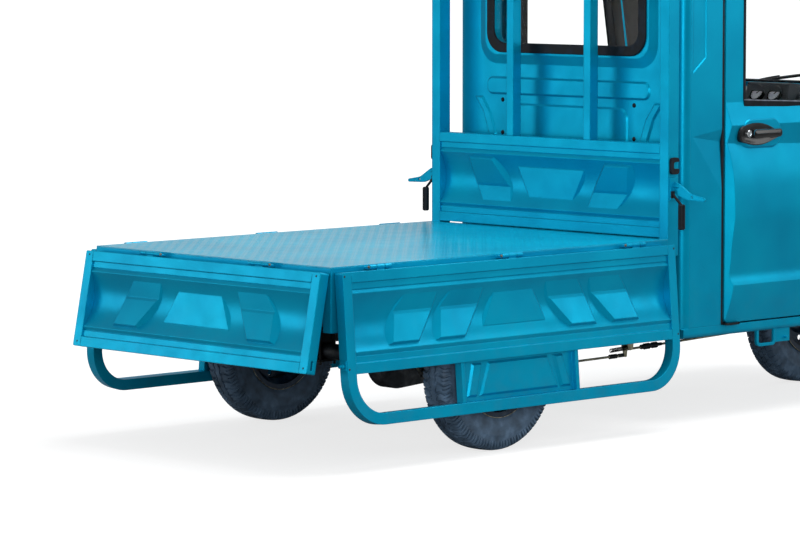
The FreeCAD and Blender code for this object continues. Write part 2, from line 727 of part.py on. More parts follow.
def tyre_carcass():
    """Hollow tyre body about Y, its tread base LUG_HEIGHT below the lugs' tips."""
    base = TYRE_RADIUS - LUG_HEIGHT
    tread = TREAD_WIDTH / 2
    side = TYRE_WIDTH / 2
    middle = (BEAD_RADIUS + base) / 2 + 4
    outer = [(BEAD_HALF, BEAD_RADIUS), (side, middle), (tread, base - 12), (0, base)]
    inner = [(tread - TYRE_WALL, base - TYRE_WALL - 10), (side - TYRE_WALL, middle),
             (BEAD_HALF - TYRE_WALL, BEAD_RADIUS)]
    profile = outer + [(-y, r) for y, r in reversed(outer[:-1])]
    profile += [(-y, r) for y, r in reversed(inner)] + inner
    return flat_ring(profile, TYRE_FLATS)


def lug(corners, crown_half):
    """One tread lug at the tyre's lowest point: an upright bar cut to the tread's crown and shoulders."""
    tread = TREAD_WIDTH / 2
    base = TYRE_RADIUS - LUG_HEIGHT
    half = [(crown_half, TYRE_RADIUS), (tread + 2, TYRE_RADIUS - 9), (tread + 5, base - 26),
            (tread - 6, base - 16)]
    crown = half + [(-y, r) for y, r in reversed(half) if crown_half > 0 or r < TYRE_RADIUS]
    reach = TYRE_RADIUS / 4
    points = [V(-reach, y, -r) for y, r in crown]
    cap = Part.Face(Part.makePolygon(points + [points[0]])).extrude(V(2 * reach, 0, 0))
    return cap.common(plate_xy(corners, -TYRE_RADIUS - 1, -base + 30))


def with_lugs(rows):
    """Carcass with rows of lugs, each (lug, share of a pitch that it is turned on by)."""
    lugs = []
    for shape, shift in rows:
        for i in range(TYRE_LUGS):
            copy = shape.copy()
            copy.rotate(CENTRE, V(0, 1, 0), (i + shift) * 360.0 / TYRE_LUGS)
            lugs.append(copy)
    return tyre_carcass().fuse(lugs).removeSplitter()


def rear_tyre():
    """Tyre with slanted shoulder lugs that meet in a zigzag, about Y at the origin."""
    width = REAR_LUG_WIDTH / 2
    slant = REAR_LUG_SLANT
    far = TYRE_WIDTH / 2 + 7
    rows = []
    for side, shift in ((-1, 0.0), (1, 0.5)):
        corners = [(-width, 0), (width, 0), (width - slant, side * far), (-width - slant, side * far)]
        rows.append((lug(corners, 0.0), shift))
    return with_lugs(rows)


def front_tyre():
    """Tyre with three rows of tread blocks, about Y at the origin."""
    half = FRONT_BLOCK_LENGTH / 2
    far = TYRE_WIDTH / 2 + 7
    rows = [(lug(rectangle(-half, half, -CROWN_HALF, CROWN_HALF), CROWN_HALF), 0.0)]
    for side in (-1, 1):
        y0, y1 = sorted((side * (CROWN_HALF + 8), side * far))
        rows.append((lug(rectangle(-half, half, y0, y1), CROWN_HALF), 0.5))
    return with_lugs(rows)


def wheel_rim(dish):
    """Pressed steel rim with a dished centre and hub, about Y at the origin; dish moves the disc."""
    r = BEAD_RADIUS
    profile = [(-58, r + 14), (-54, r + 14), (-52, r - 0.3), (-40, r - 0.3), (-24, r - 22), (24, r - 22),
               (40, r - 0.3), (52, r - 0.3), (54, r + 14), (58, r + 14), (56, r - 6), (42, r - 5),
               (27, r - 27), (-27, r - 27), (-42, r - 5), (-56, r - 6)]
    ring = Part.Face(Part.makePolygon([V(0, y, z) for y, z in profile + [profile[0]]]))
    ring = ring.revolve(CENTRE, V(0, 1, 0), 360)
    disc = [(dish - 2, r - 25), (dish - 2, 88), (dish + 14, 70), (dish + 14, 22), (dish - 30, 22),
            (dish - 30, HUB_BORE + HUB_FIT), (dish + 30, HUB_BORE + HUB_FIT), (dish + 30, 30),
            (dish + 20, 36), (dish + 20, 72), (dish + 4, 90), (dish + 4, r - 25)]
    web = Part.Face(Part.makePolygon([V(0, y, z) for y, z in disc + [disc[0]]]))
    web = web.revolve(CENTRE, V(0, 1, 0), 360)
    rim = ring.fuse(web)
    holes = []
    for i in range(WEB_HOLES):
        hole = rod((0, dish - 20, WEB_HOLE_AT), (0, dish + 20, WEB_HOLE_AT), WEB_HOLE_RADIUS)
        hole.rotate(CENTRE, V(0, 1, 0), i * 360.0 / WEB_HOLES)
        holes.append(hole)
    return rim.cut(holes).removeSplitter()


def at(shape, x, y, z):
    """A copy of a shape carried to a place."""
    moved = shape.copy()
    moved.translate(V(x, y, z))
    return moved


def make_wheels():
    """Two driven rear wheels and the steered front wheel."""
    rear = rear_tyre()
    rim = wheel_rim(REAR_DISH)
    parts = {}
    for name, side in (("left", 1), ("right", -1)):
        parts["rear_tyre_" + name] = at(rear if side > 0 else rear.mirror(CENTRE, V(0, 1, 0)),
                                        REAR_AXLE_X, side * REAR_WHEEL_Y, AXLE_Z)
        parts["rear_rim_" + name] = at(rim if side > 0 else rim.mirror(CENTRE, V(0, 1, 0)),
                                       REAR_AXLE_X, side * REAR_WHEEL_Y, AXLE_Z)
    parts["front_tyre"] = at(front_tyre(), FRONT_AXLE_X, 0, AXLE_Z)
    parts["front_rim"] = at(wheel_rim(0.0), FRONT_AXLE_X, 0, AXLE_Z)
    return parts


def leaf_spring(y):
    """Stack of curved leaves under a rail, clamped to the axle tube."""
    thickness = LEAF_THICKNESS
    width = RAIL_WIDTH - 1.0
    radius = (SPRING_HALF ** 2 + SPRING_RISE ** 2) / (2 * SPRING_RISE)
    centre_z = AXLE_Z + AXLE_RADIUS + LEAF_COUNT * thickness + radius
    leaves = []
    for i in range(LEAF_COUNT):
        half = SPRING_HALF * (1.0 - LEAF_STEP * i)
        r_in = radius + i * thickness
        angle = math.degrees(math.asin(half / r_in))
        ring = Part.makeCylinder(r_in + thickness, width, V(REAR_AXLE_X, y - width / 2, centre_z), V(0, 1, 0))
        ring = ring.cut(Part.makeCylinder(r_in, width, V(REAR_AXLE_X, y - width / 2, centre_z), V(0, 1, 0)))
        wedge = math.tan(math.radians(angle)) * (r_in + 40)
        sector = plate_xz([(REAR_AXLE_X, centre_z, 0), (REAR_AXLE_X - wedge, centre_z - r_in - 40, 0),
                           (REAR_AXLE_X + wedge, centre_z - r_in - 40, 0)], y - width, y + width)
        leaves.append(ring.common(sector))
    for x in (REAR_AXLE_X - SPRING_HALF, REAR_AXLE_X + SPRING_HALF):
        leaves.append(rod((x, y - width / 2, EYE_Z), (x, y + width / 2, EYE_Z), EYE_RADIUS))
    stack = joined(leaves)
    low = AXLE_Z - AXLE_RADIUS
    top = AXLE_Z + AXLE_RADIUS + LEAF_COUNT * LEAF_THICKNESS
    half = width / 2 + CLAMP_MARGIN
    clamp = [box(REAR_AXLE_X - CLAMP_HALF, REAR_AXLE_X + CLAMP_HALF, y - half, y + half, z, z + CLAMP_PLATE)
             for z in (low - CLAMP_PLATE, top)]
    for x in (REAR_AXLE_X - CLAMP_BOLT_X, REAR_AXLE_X + CLAMP_BOLT_X):
        for side in (-1, 1):
            bolt_y = y + side * (half - 7)
            clamp.append(rod((x, bolt_y, low - CLAMP_PLATE - 12), (x, bolt_y, top + CLAMP_PLATE + 10), 5))
    stack = stack.fuse(clamp).removeSplitter()
    bores = [rod((x, y - width, EYE_Z), (x, y + width, EYE_Z), EYE_PIN + PIN_FIT)
             for x in (REAR_AXLE_X - SPRING_HALF, REAR_AXLE_X + SPRING_HALF)]
    return stack.cut(bores)


def make_running_gear():
    """Rear axle with its motor, leaf springs, chassis rails and brake rods."""
    parts = {}
    hub_face = REAR_WHEEL_Y - 40.0
    axle = [rod((REAR_AXLE_X, -hub_face, AXLE_Z), (REAR_AXLE_X, hub_face, AXLE_Z), AXLE_RADIUS)]
    for side in (-1, 1):
        saddle = box(REAR_AXLE_X - CLAMP_HALF, REAR_AXLE_X + CLAMP_HALF, side * RAIL_Y - RAIL_WIDTH / 2 + 1,
                     side * RAIL_Y + RAIL_WIDTH / 2 - 1, AXLE_Z, AXLE_Z + AXLE_RADIUS)
        axle.append(saddle)
        axle.append(rod((REAR_AXLE_X, side * (hub_face + 4 - DRUM_WIDTH), AXLE_Z),
                        (REAR_AXLE_X, side * (hub_face + 4), AXLE_Z), DRUM_RADIUS))
        axle.append(rod((REAR_AXLE_X, side * hub_face, AXLE_Z),
                        (REAR_AXLE_X, side * (REAR_WHEEL_Y + 52), AXLE_Z), HUB_BORE))
    motor_x = REAR_AXLE_X + MOTOR_AHEAD
    axle.append(rod((REAR_AXLE_X, -110, AXLE_Z), (REAR_AXLE_X, 90, AXLE_Z), GEAR_CASE_RADIUS))
    axle.append(plate_xz([(REAR_AXLE_X - 112, AXLE_Z - 112, 100), (motor_x + 84, AXLE_Z - 88, 80),
                          (motor_x + 84, AXLE_Z + 84, 80), (REAR_AXLE_X - 112, AXLE_Z + 112, 100)],
                         -125, -60))
    parts["rear_axle"] = joined(axle)
    motor = [rod((motor_x, -60, AXLE_Z), (motor_x, MOTOR_END, AXLE_Z), MOTOR_RADIUS)]
    fin_radius = MOTOR_RADIUS + FIN_HEIGHT
    for i in range(FIN_COUNT):
        y = FIN_START + i * FIN_PITCH
        motor.append(rod((motor_x, y, AXLE_Z), (motor_x, y + FIN_THICKNESS, AXLE_Z), fin_radius))
    cover = rod((motor_x, MOTOR_END, AXLE_Z), (motor_x, MOTOR_END + 12, AXLE_Z), MOTOR_RADIUS - 22)
    parts["axle_motor"] = joined(motor + [cover])
    parts["brake_linkage"] = brake_linkage()
    parts["leaf_springs"] = both_sides(leaf_spring(RAIL_Y))
    return parts


def brake_linkage():
    """Foot pedal, cross pivots, levers and the long rods that run back to the axle."""
    y = BRAKE_Y
    wall = -RAIL_Y + RAIL_WIDTH / 2
    shapes = []
    for x, z in ((PIVOT_X, PIVOT_Z), (PEDAL_X, PEDAL_Z)):
        hanger = plate_xz([(x - 20, LOWER_RAIL_TOP), (x - 20, LOWER_RAIL_LOW - 4), (x - 13, z - 14, 12),
                           (x + 13, z - 14, 12), (x + 20, LOWER_RAIL_LOW - 4), (x + 20, LOWER_RAIL_TOP)],
                          wall, wall + 6)
        shapes.append(hanger)
        shapes.append(rod((x, wall, z), (x, y + 12, z), 8))
    lever_low = PIVOT_Z - LEVER_LENGTH
    shapes.append(plate_xz([(PIVOT_X - 13, PIVOT_Z + 13, 10), (PIVOT_X - 8, lever_low - 8, 6),
                            (PIVOT_X + 8, lever_low - 8, 6), (PIVOT_X + 13, PIVOT_Z + 13, 10)], y - 3, y + 3))
    arm_x = REAR_AXLE_X + AXLE_RADIUS + 14
    arm_low = AXLE_Z - LEVER_LENGTH - 36
    arm = plate_xz([(REAR_AXLE_X, AXLE_Z), (REAR_AXLE_X - 8, AXLE_Z - AXLE_RADIUS),
                    (arm_x - 12, arm_low - 10, 9), (arm_x + 10, arm_low - 10, 9),
                    (REAR_AXLE_X + AXLE_RADIUS, AXLE_Z)], y - 3, y + 3)
    collar = rod((REAR_AXLE_X, y - 7, AXLE_Z), (REAR_AXLE_X, y + 7, AXLE_Z), AXLE_RADIUS + 8)
    bore = rod((REAR_AXLE_X, y - 9, AXLE_Z), (REAR_AXLE_X, y + 9, AXLE_Z), AXLE_RADIUS + PIN_FIT)
    shapes.append(collar.fuse(arm).cut(bore))
    rear_end = (arm_x, y, arm_low)
    shapes.append(rod(rear_end, (PIVOT_X, y, lever_low), BRAKE_ROD))
    shapes.append(rod((PIVOT_X, y, PIVOT_Z - 14), (PEDAL_X, y, PEDAL_Z - 22), BRAKE_ROD))
    shapes.append(plate_xz([(PEDAL_X - 12, PEDAL_Z - 30, 9), (PEDAL_X + 12, PEDAL_Z - 30, 9),
                            (PEDAL_X + 78, PEDAL_Z + PEDAL_RISE, 6), (PEDAL_X + 60, PEDAL_Z + PEDAL_RISE, 6)],
                           y - 4, y + 4))
    pad = box(-6, 6, -34, 34, -28, 28)
    pad.rotate(CENTRE, V(0, 1, 0), -35)
    shapes.append(at(pad, PEDAL_X + 66, y, PEDAL_Z + PEDAL_RISE))
    return joined(shapes)


def gate_latch():
    """Bracket, pivot and stamped horn of one gate latch on the left end post."""
    x0, x1 = DECK_LENGTH + 6, DECK_LENGTH + END_POST_DEPTH - 8
    mid = (x0 + x1) / 2
    bracket = box(x0, x1, DECK_HALF, DECK_HALF + 6, LATCH_Z - 54, LATCH_Z + 33)
    pivot = rod((mid, DECK_HALF, LATCH_Z), (mid, DECK_HALF + 30, LATCH_Z), 7)
    reach = DECK_HALF + HORN_REACH
    root = DECK_HALF + 6
    horn = plate_yz([(root, LATCH_Z + 18, 6), (root + 28, LATCH_Z + 8, 30), (root + 84, LATCH_Z - 26, 60),
                     (reach, LATCH_Z - 38, 5), (reach, LATCH_Z - 50, 5), (root + 64, LATCH_Z - 48, 60),
                     (root + 22, LATCH_Z - 34, 20), (root, LATCH_Z - 20, 6)], mid - 4, mid + 4)
    hole = rod((mid - 9, DECK_HALF + 96, LATCH_Z - 37), (mid + 9, DECK_HALF + 96, LATCH_Z - 37), 5)
    return joined([bracket, pivot, horn]).cut(hole)


def latch_hook():
    """Black C hook and hanging rubber grip of one latch on the left end post."""
    x0, x1 = DECK_LENGTH + 6, DECK_LENGTH + END_POST_DEPTH - 8
    low = LATCH_Z + 44
    hook = plate_xz(rectangle(x0, x1, low, low + 62, 12), DECK_HALF, DECK_HALF + 12)
    throat = [(x0 + 12, low + 20, 8), (x1 + 9, low + 20), (x1 + 9, low + 46), (x0 + 12, low + 46, 8)]
    hook = hook.cut(plate_xz(throat, DECK_HALF - 1, DECK_HALF + 13))
    grip_x = x0 + GRIP_RADIUS - 2
    grip_y = DECK_HALF + 52
    grip = rod((grip_x, grip_y, LATCH_Z - 159), (grip_x, grip_y, LATCH_Z - 65), GRIP_RADIUS)
    ends = [e for e in grip.Edges if e.Curve.TypeId == "Part::GeomCircle"]
    grip = grip.makeChamfer(4, ends)
    shank = rod((grip_x, grip_y, LATCH_Z - 70), (x0 + 9, DECK_HALF + 10, LATCH_Z - 30), 5)
    foot = box(x0 + 2, x0 + 17, DECK_HALF + 6, DECK_HALF + 12, LATCH_Z - 44, LATCH_Z - 18)
    return [hook, joined([grip, shank, foot])]


def make_chassis():
    """Chassis in its welded pieces: rails, crossbars, spring hangers, cab underframe and steering head."""
    w = RAIL_WIDTH
    drop_x = CAB_REAR - w - LEG_GAP
    rails = []
    legs = []
    hangers = []
    inner = RAIL_Y - w / 2
    for side in (-1, 1):
        y0 = side * RAIL_Y - w / 2
        y1 = side * RAIL_Y + w / 2
        rails.append(box(RAIL_REAR, drop_x + w, y0, y1, RAIL_LOW, RAIL_TOP))
        legs.append(box(drop_x, drop_x + w, y0, y1, LOWER_RAIL_TOP, RAIL_LOW))
        legs.append(box(drop_x, UNDERFRAME_FRONT, y0, y1, LOWER_RAIL_LOW, LOWER_RAIL_TOP))
        for x in (REAR_AXLE_X - SPRING_HALF, REAR_AXLE_X + SPRING_HALF):
            foot = EYE_Z - EYE_CHEEK
            cheek = [(x - EYE_CHEEK, foot, EYE_CHEEK - 1), (x + EYE_CHEEK, foot, EYE_CHEEK - 1),
                     (x + 30, RAIL_LOW), (x - 30, RAIL_LOW)]
            shapes = [plate_xz(cheek, y, y + 6) for y in (y0 - 6, y1)]
            shapes.append(plate_xz([(x - 30, RAIL_LOW), (x + 30, RAIL_LOW), (x + 30, RAIL_LOW - 6),
                                    (x - 30, RAIL_LOW - 6)], y0 - 6, y1 + 6))
            shapes.append(rod((x, y0 - 10, EYE_Z), (x, y1 + 10, EYE_Z), EYE_PIN))
            hangers.append(joined(shapes))
    bars = [box(x, x + w, -inner, inner, RAIL_LOW + 20, RAIL_TOP - 20)
            for x in (RAIL_REAR, REAR_AXLE_X - 250, REAR_AXLE_X + 290, drop_x)]
    low_bars = [box(x, x + w, -inner, inner, LOWER_RAIL_LOW, LOWER_RAIL_TOP)
                for x in (drop_x, (drop_x + UNDERFRAME_FRONT) / 2, UNDERFRAME_FRONT - w)]
    low = V(*steer_point(HEAD_LOW))
    high = V(*steer_point(HEAD_HIGH))
    middle = (low + high) * 0.5
    braces = [rod(tuple(low), tuple(high), HEAD_RADIUS)]
    for side in (-1, 1):
        knee = (UNDERFRAME_FRONT - w / 2, side * RAIL_Y, middle.z - 20)
        braces.append(rod((knee[0], knee[1], LOWER_RAIL_TOP), knee, BRACE_RADIUS))
        braces.append(rod(knee, (middle.x, side * 10, middle.z), BRACE_RADIUS))
        braces.append(Part.makeSphere(BRACE_RADIUS, V(*knee)))
    bore = rod(steer_point(HEAD_LOW - 20), steer_point(HEAD_HIGH + 20), COLUMN_RADIUS + PIN_FIT)
    return {"chassis_rails": set_apart(rails), "chassis_crossbars": set_apart(bars),
            "spring_hangers": set_apart(hangers), "cab_underframe": joined(legs + low_bars),
            "steering_head": joined(braces).cut(bore)}


def cab_side_profile(inset, drop):
    """Side outline of the cab in XZ, moved inwards by inset, its underside lowered by drop."""
    i = inset
    low = CAB_FLOOR - drop
    return [(CAB_REAR + i, low, 0), (NOSE_FRONT - NOSE_TUCK - i, low, 0),
            (NOSE_FRONT - NOSE_TUCK + 6 - i, CAB_FLOOR + 60, 60), (NOSE_FRONT - i, NOSE_BELLY_Z, 260),
            (NOSE_FRONT - SCREEN_FOOT - i, COWL_Z, 60),
            (NOSE_FRONT - SCREEN_HEAD - i, CAB_ROOF - ROOF_FALL - i, 90),
            (ROOF_CREST, CAB_ROOF - i, SIDE_BOW), (CAB_REAR + i, CAB_ROOF - ROOF_REAR_FALL - i, 70)]


def cab_block(inset, drop=0.0):
    """Solid cab form: its side outline across the width, with the plan's corners rounded."""
    half = CAB_HALF - inset
    side = plate_xz(cab_side_profile(inset, drop), -half, half)
    corners = [(CAB_REAR + inset, -half, CAB_CORNER), (DOOR_FRONT, -half, SIDE_BOW),
               (NOSE_FRONT - inset, -half + NOSE_TAPER, 190)]
    corners += [(x, -y, r) for x, y, r in reversed(corners)]
    return side.common(plate_xy(corners, CAB_FLOOR - drop, CAB_ROOF + 10))


def door_outline(grow):
    """Door outline in XZ, grown by a margin; its front edge is upright below and leans above."""
    g = grow
    low = CAB_FLOOR + DOOR_LIFT - g
    return [(DOOR_REAR - g, low, 20), (DOOR_FRONT + g, low, 40),
            (DOOR_FRONT + g, COWL_Z, 30), (DOOR_FRONT + g - DOOR_LEAN, DOOR_TOP + g, 60),
            (DOOR_REAR - g, DOOR_TOP + g, 40)]


def window_outline(grow):
    """Door window outline in XZ."""
    g = grow
    front = DOOR_FRONT - WINDOW_MARGIN
    return [(WINDOW_REAR - g, WINDOW_SILL - g, 40), (front + g, WINDOW_SILL - WINDOW_FALL - g, 40),
            (front - WINDOW_LEAN + g, WINDOW_TOP + g, 40), (WINDOW_REAR - g, WINDOW_TOP + g, 40)]


def make_cab():
    """Cab shell, split into its panels where the real ones meet."""
    parts = {}
    shell = cab_block(0).cut(cab_block(CAB_WALL, 60.0))
    door_cut = both_sides(plate_xz(door_outline(DOOR_GAP + SEAL_WIDTH), CAB_HALF - 60, CAB_HALF + 5))
    rear_window = plate_yz(rectangle(-REAR_GLASS_HALF, REAR_GLASS_HALF, REAR_GLASS_LOW, WINDOW_TOP, 60),
                           CAB_REAR - 2 * SURROUND_RISE, CAB_REAR + 60)
    shell = shell.cut([door_cut, screen_opening(), rear_window])
    seam_rear = CAB_REAR + CAB_CORNER
    side_line = NOSE_FRONT - 200
    zones = {
        "cab_rear_wall": box(CAB_REAR - 5, seam_rear, -CAB_HALF, CAB_HALF, 0, ROOF_SEAM),
        "quarter_panels": box(seam_rear, DOOR_REAR + 40, -CAB_HALF, CAB_HALF, 0, ROOF_SEAM),
        "cab_roof": box(CAB_REAR - 5, FAR, -CAB_HALF, CAB_HALF, ROOF_SEAM, FAR),
        "nose_sides": box(DOOR_REAR + 40, side_line, -CAB_HALF, CAB_HALF, 0, COWL_Z + 20),
        "nose_panel": box(side_line, FAR, -CAB_HALF, CAB_HALF, 0, COWL_Z + 20),
        "windscreen_frame": box(DOOR_REAR + 40, FAR, -CAB_HALF, CAB_HALF, COWL_Z + 20, ROOF_SEAM),
    }
    for name, zone in zones.items():
        parts[name] = shell.common(zone)
    parts["cab_rear_wall"] = joined([parts["cab_rear_wall"]] + rear_wall_forms()).cut(rear_window)
    parts["quarter_panels"] = parts["quarter_panels"].cut(both_sides(quarter_forms()))
    fixed = []
    for z in DOOR_HINGES:
        fixed.append(door_hinge_leaf(z, 1, -BARREL_HEIGHT, -1.0))
        fixed.append(rod((DOOR_AXIS_X, DOOR_AXIS_Y, z - BARREL_HEIGHT),
                         (DOOR_AXIS_X, DOOR_AXIS_Y, z + BARREL_HEIGHT), DOOR_PIN))
    fixed += [shape.mirror(CENTRE, V(0, 1, 0)) for shape in fixed]
    parts["nose_sides"] = parts["nose_sides"].fuse(fixed)
    lamp_holes = [rod((NOSE_FRONT - 240, y, HEADLAMP_Z), (FAR, y, HEADLAMP_Z), HEADLAMP_RADIUS + SEAT_GAP)
                  for y in (-HEADLAMP_Y, HEADLAMP_Y)]
    parts["nose_panel"] = parts["nose_panel"].cut(lamp_holes)
    foot = cab_block(0).common(box(0, FAR, -FAR, FAR, CAB_FLOOR, CAB_FLOOR + FLOOR_SHEET))
    foot.translate(V(0, 0, -FLOOR_SHEET))
    foot = foot.cut(box(FLOOR_FRONT, FAR, -ARCH_HALF, ARCH_HALF, 0, FAR))
    foot = foot.cut(box(PEDAL_X - 5, PEDAL_X + 50, BRAKE_Y - 10, BRAKE_Y + 10, 0, FAR))
    for side in (-1, 1):
        brace_x = UNDERFRAME_FRONT - RAIL_WIDTH / 2
        brace = rod((brace_x, side * RAIL_Y, 0), (brace_x, side * RAIL_Y, CAB_ROOF), BRACE_RADIUS + 1.0)
        foot = foot.cut(brace)
    sills = [foot]
    for side in (-1, 1):
        low = CAB_FLOOR - SILL_SIZE
        edge = side * CAB_HALF
        inner = side * (CAB_HALF - SILL_SIZE)
        sills.append(plate_yz([(edge, CAB_FLOOR - FLOOR_SHEET, 0), (edge, low, 18), (inner, low, 4),
                               (inner, CAB_FLOOR - FLOOR_SHEET, 0)], CAB_REAR + 10, DOOR_FRONT))
        step_y = side * (CAB_HALF - 14)
        bar = STEP_BAR
        front = STEP_X + STEP_LENGTH
        step = plate_xz([(STEP_X, low + 4), (STEP_X, low - STEP_DROP, 20), (front, low - STEP_DROP, 20),
                         (front, low + 4)], step_y - bar / 2, step_y + bar / 2)
        gap = plate_xz([(STEP_X + bar, low + 5), (STEP_X + bar, low - STEP_DROP + bar, 10),
                        (front - bar, low - STEP_DROP + bar, 10), (front - bar, low + 5)],
                       step_y - bar, step_y + bar)
        sills.append(step.cut(gap))
        sills.append(box(front - bar - 1, front + 84, step_y - bar / 4, step_y + bar / 4, low - 50, low + 4))
        sills.append(rod((STEP_X + 165, step_y, low - 34), (STEP_X + 165, step_y + side * 18, low - 34), 5))
    parts["cab_floor"] = joined(sills)
    parts.update(make_windows())
    parts.update(make_cab_fittings())
    return parts


def wall_form(outline, inner, height):
    """Form pressed out of the cab's rear wall: a loft between a rounded outline and a smaller one."""
    loops = []
    for corners, x in ((outline, CAB_REAR), (inner, CAB_REAR - height)):
        loops.append(rounded_wire([(x, y, z, r) for y, z, r in corners]))
    return Part.makeLoft(loops, True, True)


def rear_wall_forms():
    """Window surround, cross rib, lower panel and the two curved ribs of the cab's rear wall."""
    slope = SURROUND_SLOPE
    top = ROOF_SEAM - 1
    half = SURROUND_HALF
    low = SURROUND_LOW
    forms = [wall_form(rectangle(-half, half, low, top, 90),
                       rectangle(-half + slope, half - slope, low + slope, top - 8, 64), SURROUND_RISE)]
    half, low, high = WALL_RIB
    rise = WALL_PRESS
    forms.append(wall_form(rectangle(-half, half, low, high, 30),
                           rectangle(-half + rise, half - rise, low + rise, high - rise, 23), rise))
    half, high = WALL_PANEL
    low = HEADBOARD_LOW
    forms.append(wall_form(rectangle(-half, half, low, high, 45),
                           rectangle(-half + rise, half - rise, low + rise, high - rise, 38), rise))
    band = [(y + CURVED_RIB_HALF, z) for y, z in CURVED_RIB]
    band += [(y - CURVED_RIB_HALF, z) for y, z in reversed(CURVED_RIB)]
    for side in (-1, 1):
        low_loop = [V(CAB_REAR, side * y, z) for y, z in band]
        high_loop = [V(CAB_REAR - rise, side * y, z) for y, z in inset_polygon(band, rise)]
        forms.append(frustum(low_loop, high_loop))
    return forms


def quarter_forms():
    """What the left quarter panel's pressing takes away: an upright recess and a wedge-shaped crease."""
    seam = CAB_REAR + CAB_CORNER
    outline = [(seam + 12, WINDOW_SILL + 125), (seam + 86, WINDOW_SILL + 182), (seam + 86, ROOF_SEAM - 10),
               (seam + 12, ROOF_SEAM - 10)]
    inner = inset_polygon(outline, RECESS_DEPTH)
    recess = frustum([V(x, CAB_HALF + 0.01, z) for x, z in outline],
                     [V(x, CAB_HALF - RECESS_DEPTH, z) for x, z in inner])
    rear = V(seam + 10, CAB_HALF, 1075)
    edge = DOOR_REAR - 5
    corners = [V(edge, CAB_HALF, 1100), V(edge, CAB_HALF - 10, 1050), V(edge, CAB_HALF, 850)]
    faces = [corners] + [[rear, corners[i], corners[(i + 1) % 3]] for i in range(3)]
    wedge = Part.makeSolid(Part.makeShell([Part.Face(Part.makePolygon(f + [f[0]])) for f in faces]))
    if wedge.Volume < 0:
        wedge.reverse()
    return set_apart([recess, wedge])


def screen_opening():
    """Block that cuts the windscreen's opening through the cab's front."""
    half = CAB_HALF - SCREEN_MARGIN
    return plate_yz(rectangle(-half, half, SCREEN_LOW, SCREEN_TOP, 70), DOOR_FRONT + 100, FAR)


def make_windows():
    """Windscreen and rear window glass, their rubber, and the door seals."""
    parts = {}
    layer = cab_block(10).cut(cab_block(15))
    parts["windscreen_glass"] = layer.common(screen_opening())
    half = REAR_GLASS_HALF
    low = REAR_GLASS_LOW
    face = CAB_REAR - SURROUND_RISE
    parts["rear_window_glass"] = plate_yz(rectangle(-half, half, low, WINDOW_TOP, 60), face, face + 5)
    lip = RUBBER_LIP
    top = WINDOW_TOP
    rubber = plate_yz(rectangle(-half - lip, half + lip, low - lip, top + lip, 80), face - RUBBER_OUT, face)
    hole = plate_yz(rectangle(-half + 6, half - 6, low + 6, top - 6, 55), face - 2 * RUBBER_OUT, face + 1)
    rubber = rubber.cut(hole)
    front = [e for e in rubber.Edges if max(v.X for v in e.Vertexes) < face - RUBBER_OUT + 0.5]
    parts["rear_window_rubber"] = rubber.makeChamfer(3, front)
    y0 = CAB_HALF - 12
    y1 = CAB_HALF - 2
    seal = plate_xz(door_outline(DOOR_GAP + SEAL_WIDTH), y0, y1)
    seal = seal.cut(plate_xz(door_outline(DOOR_GAP), y0, y1))
    seal = seal.common(box(0, FAR, y0, y1, CAB_FLOOR, FAR))
    parts["door_seals"] = both_sides(seal)
    return parts


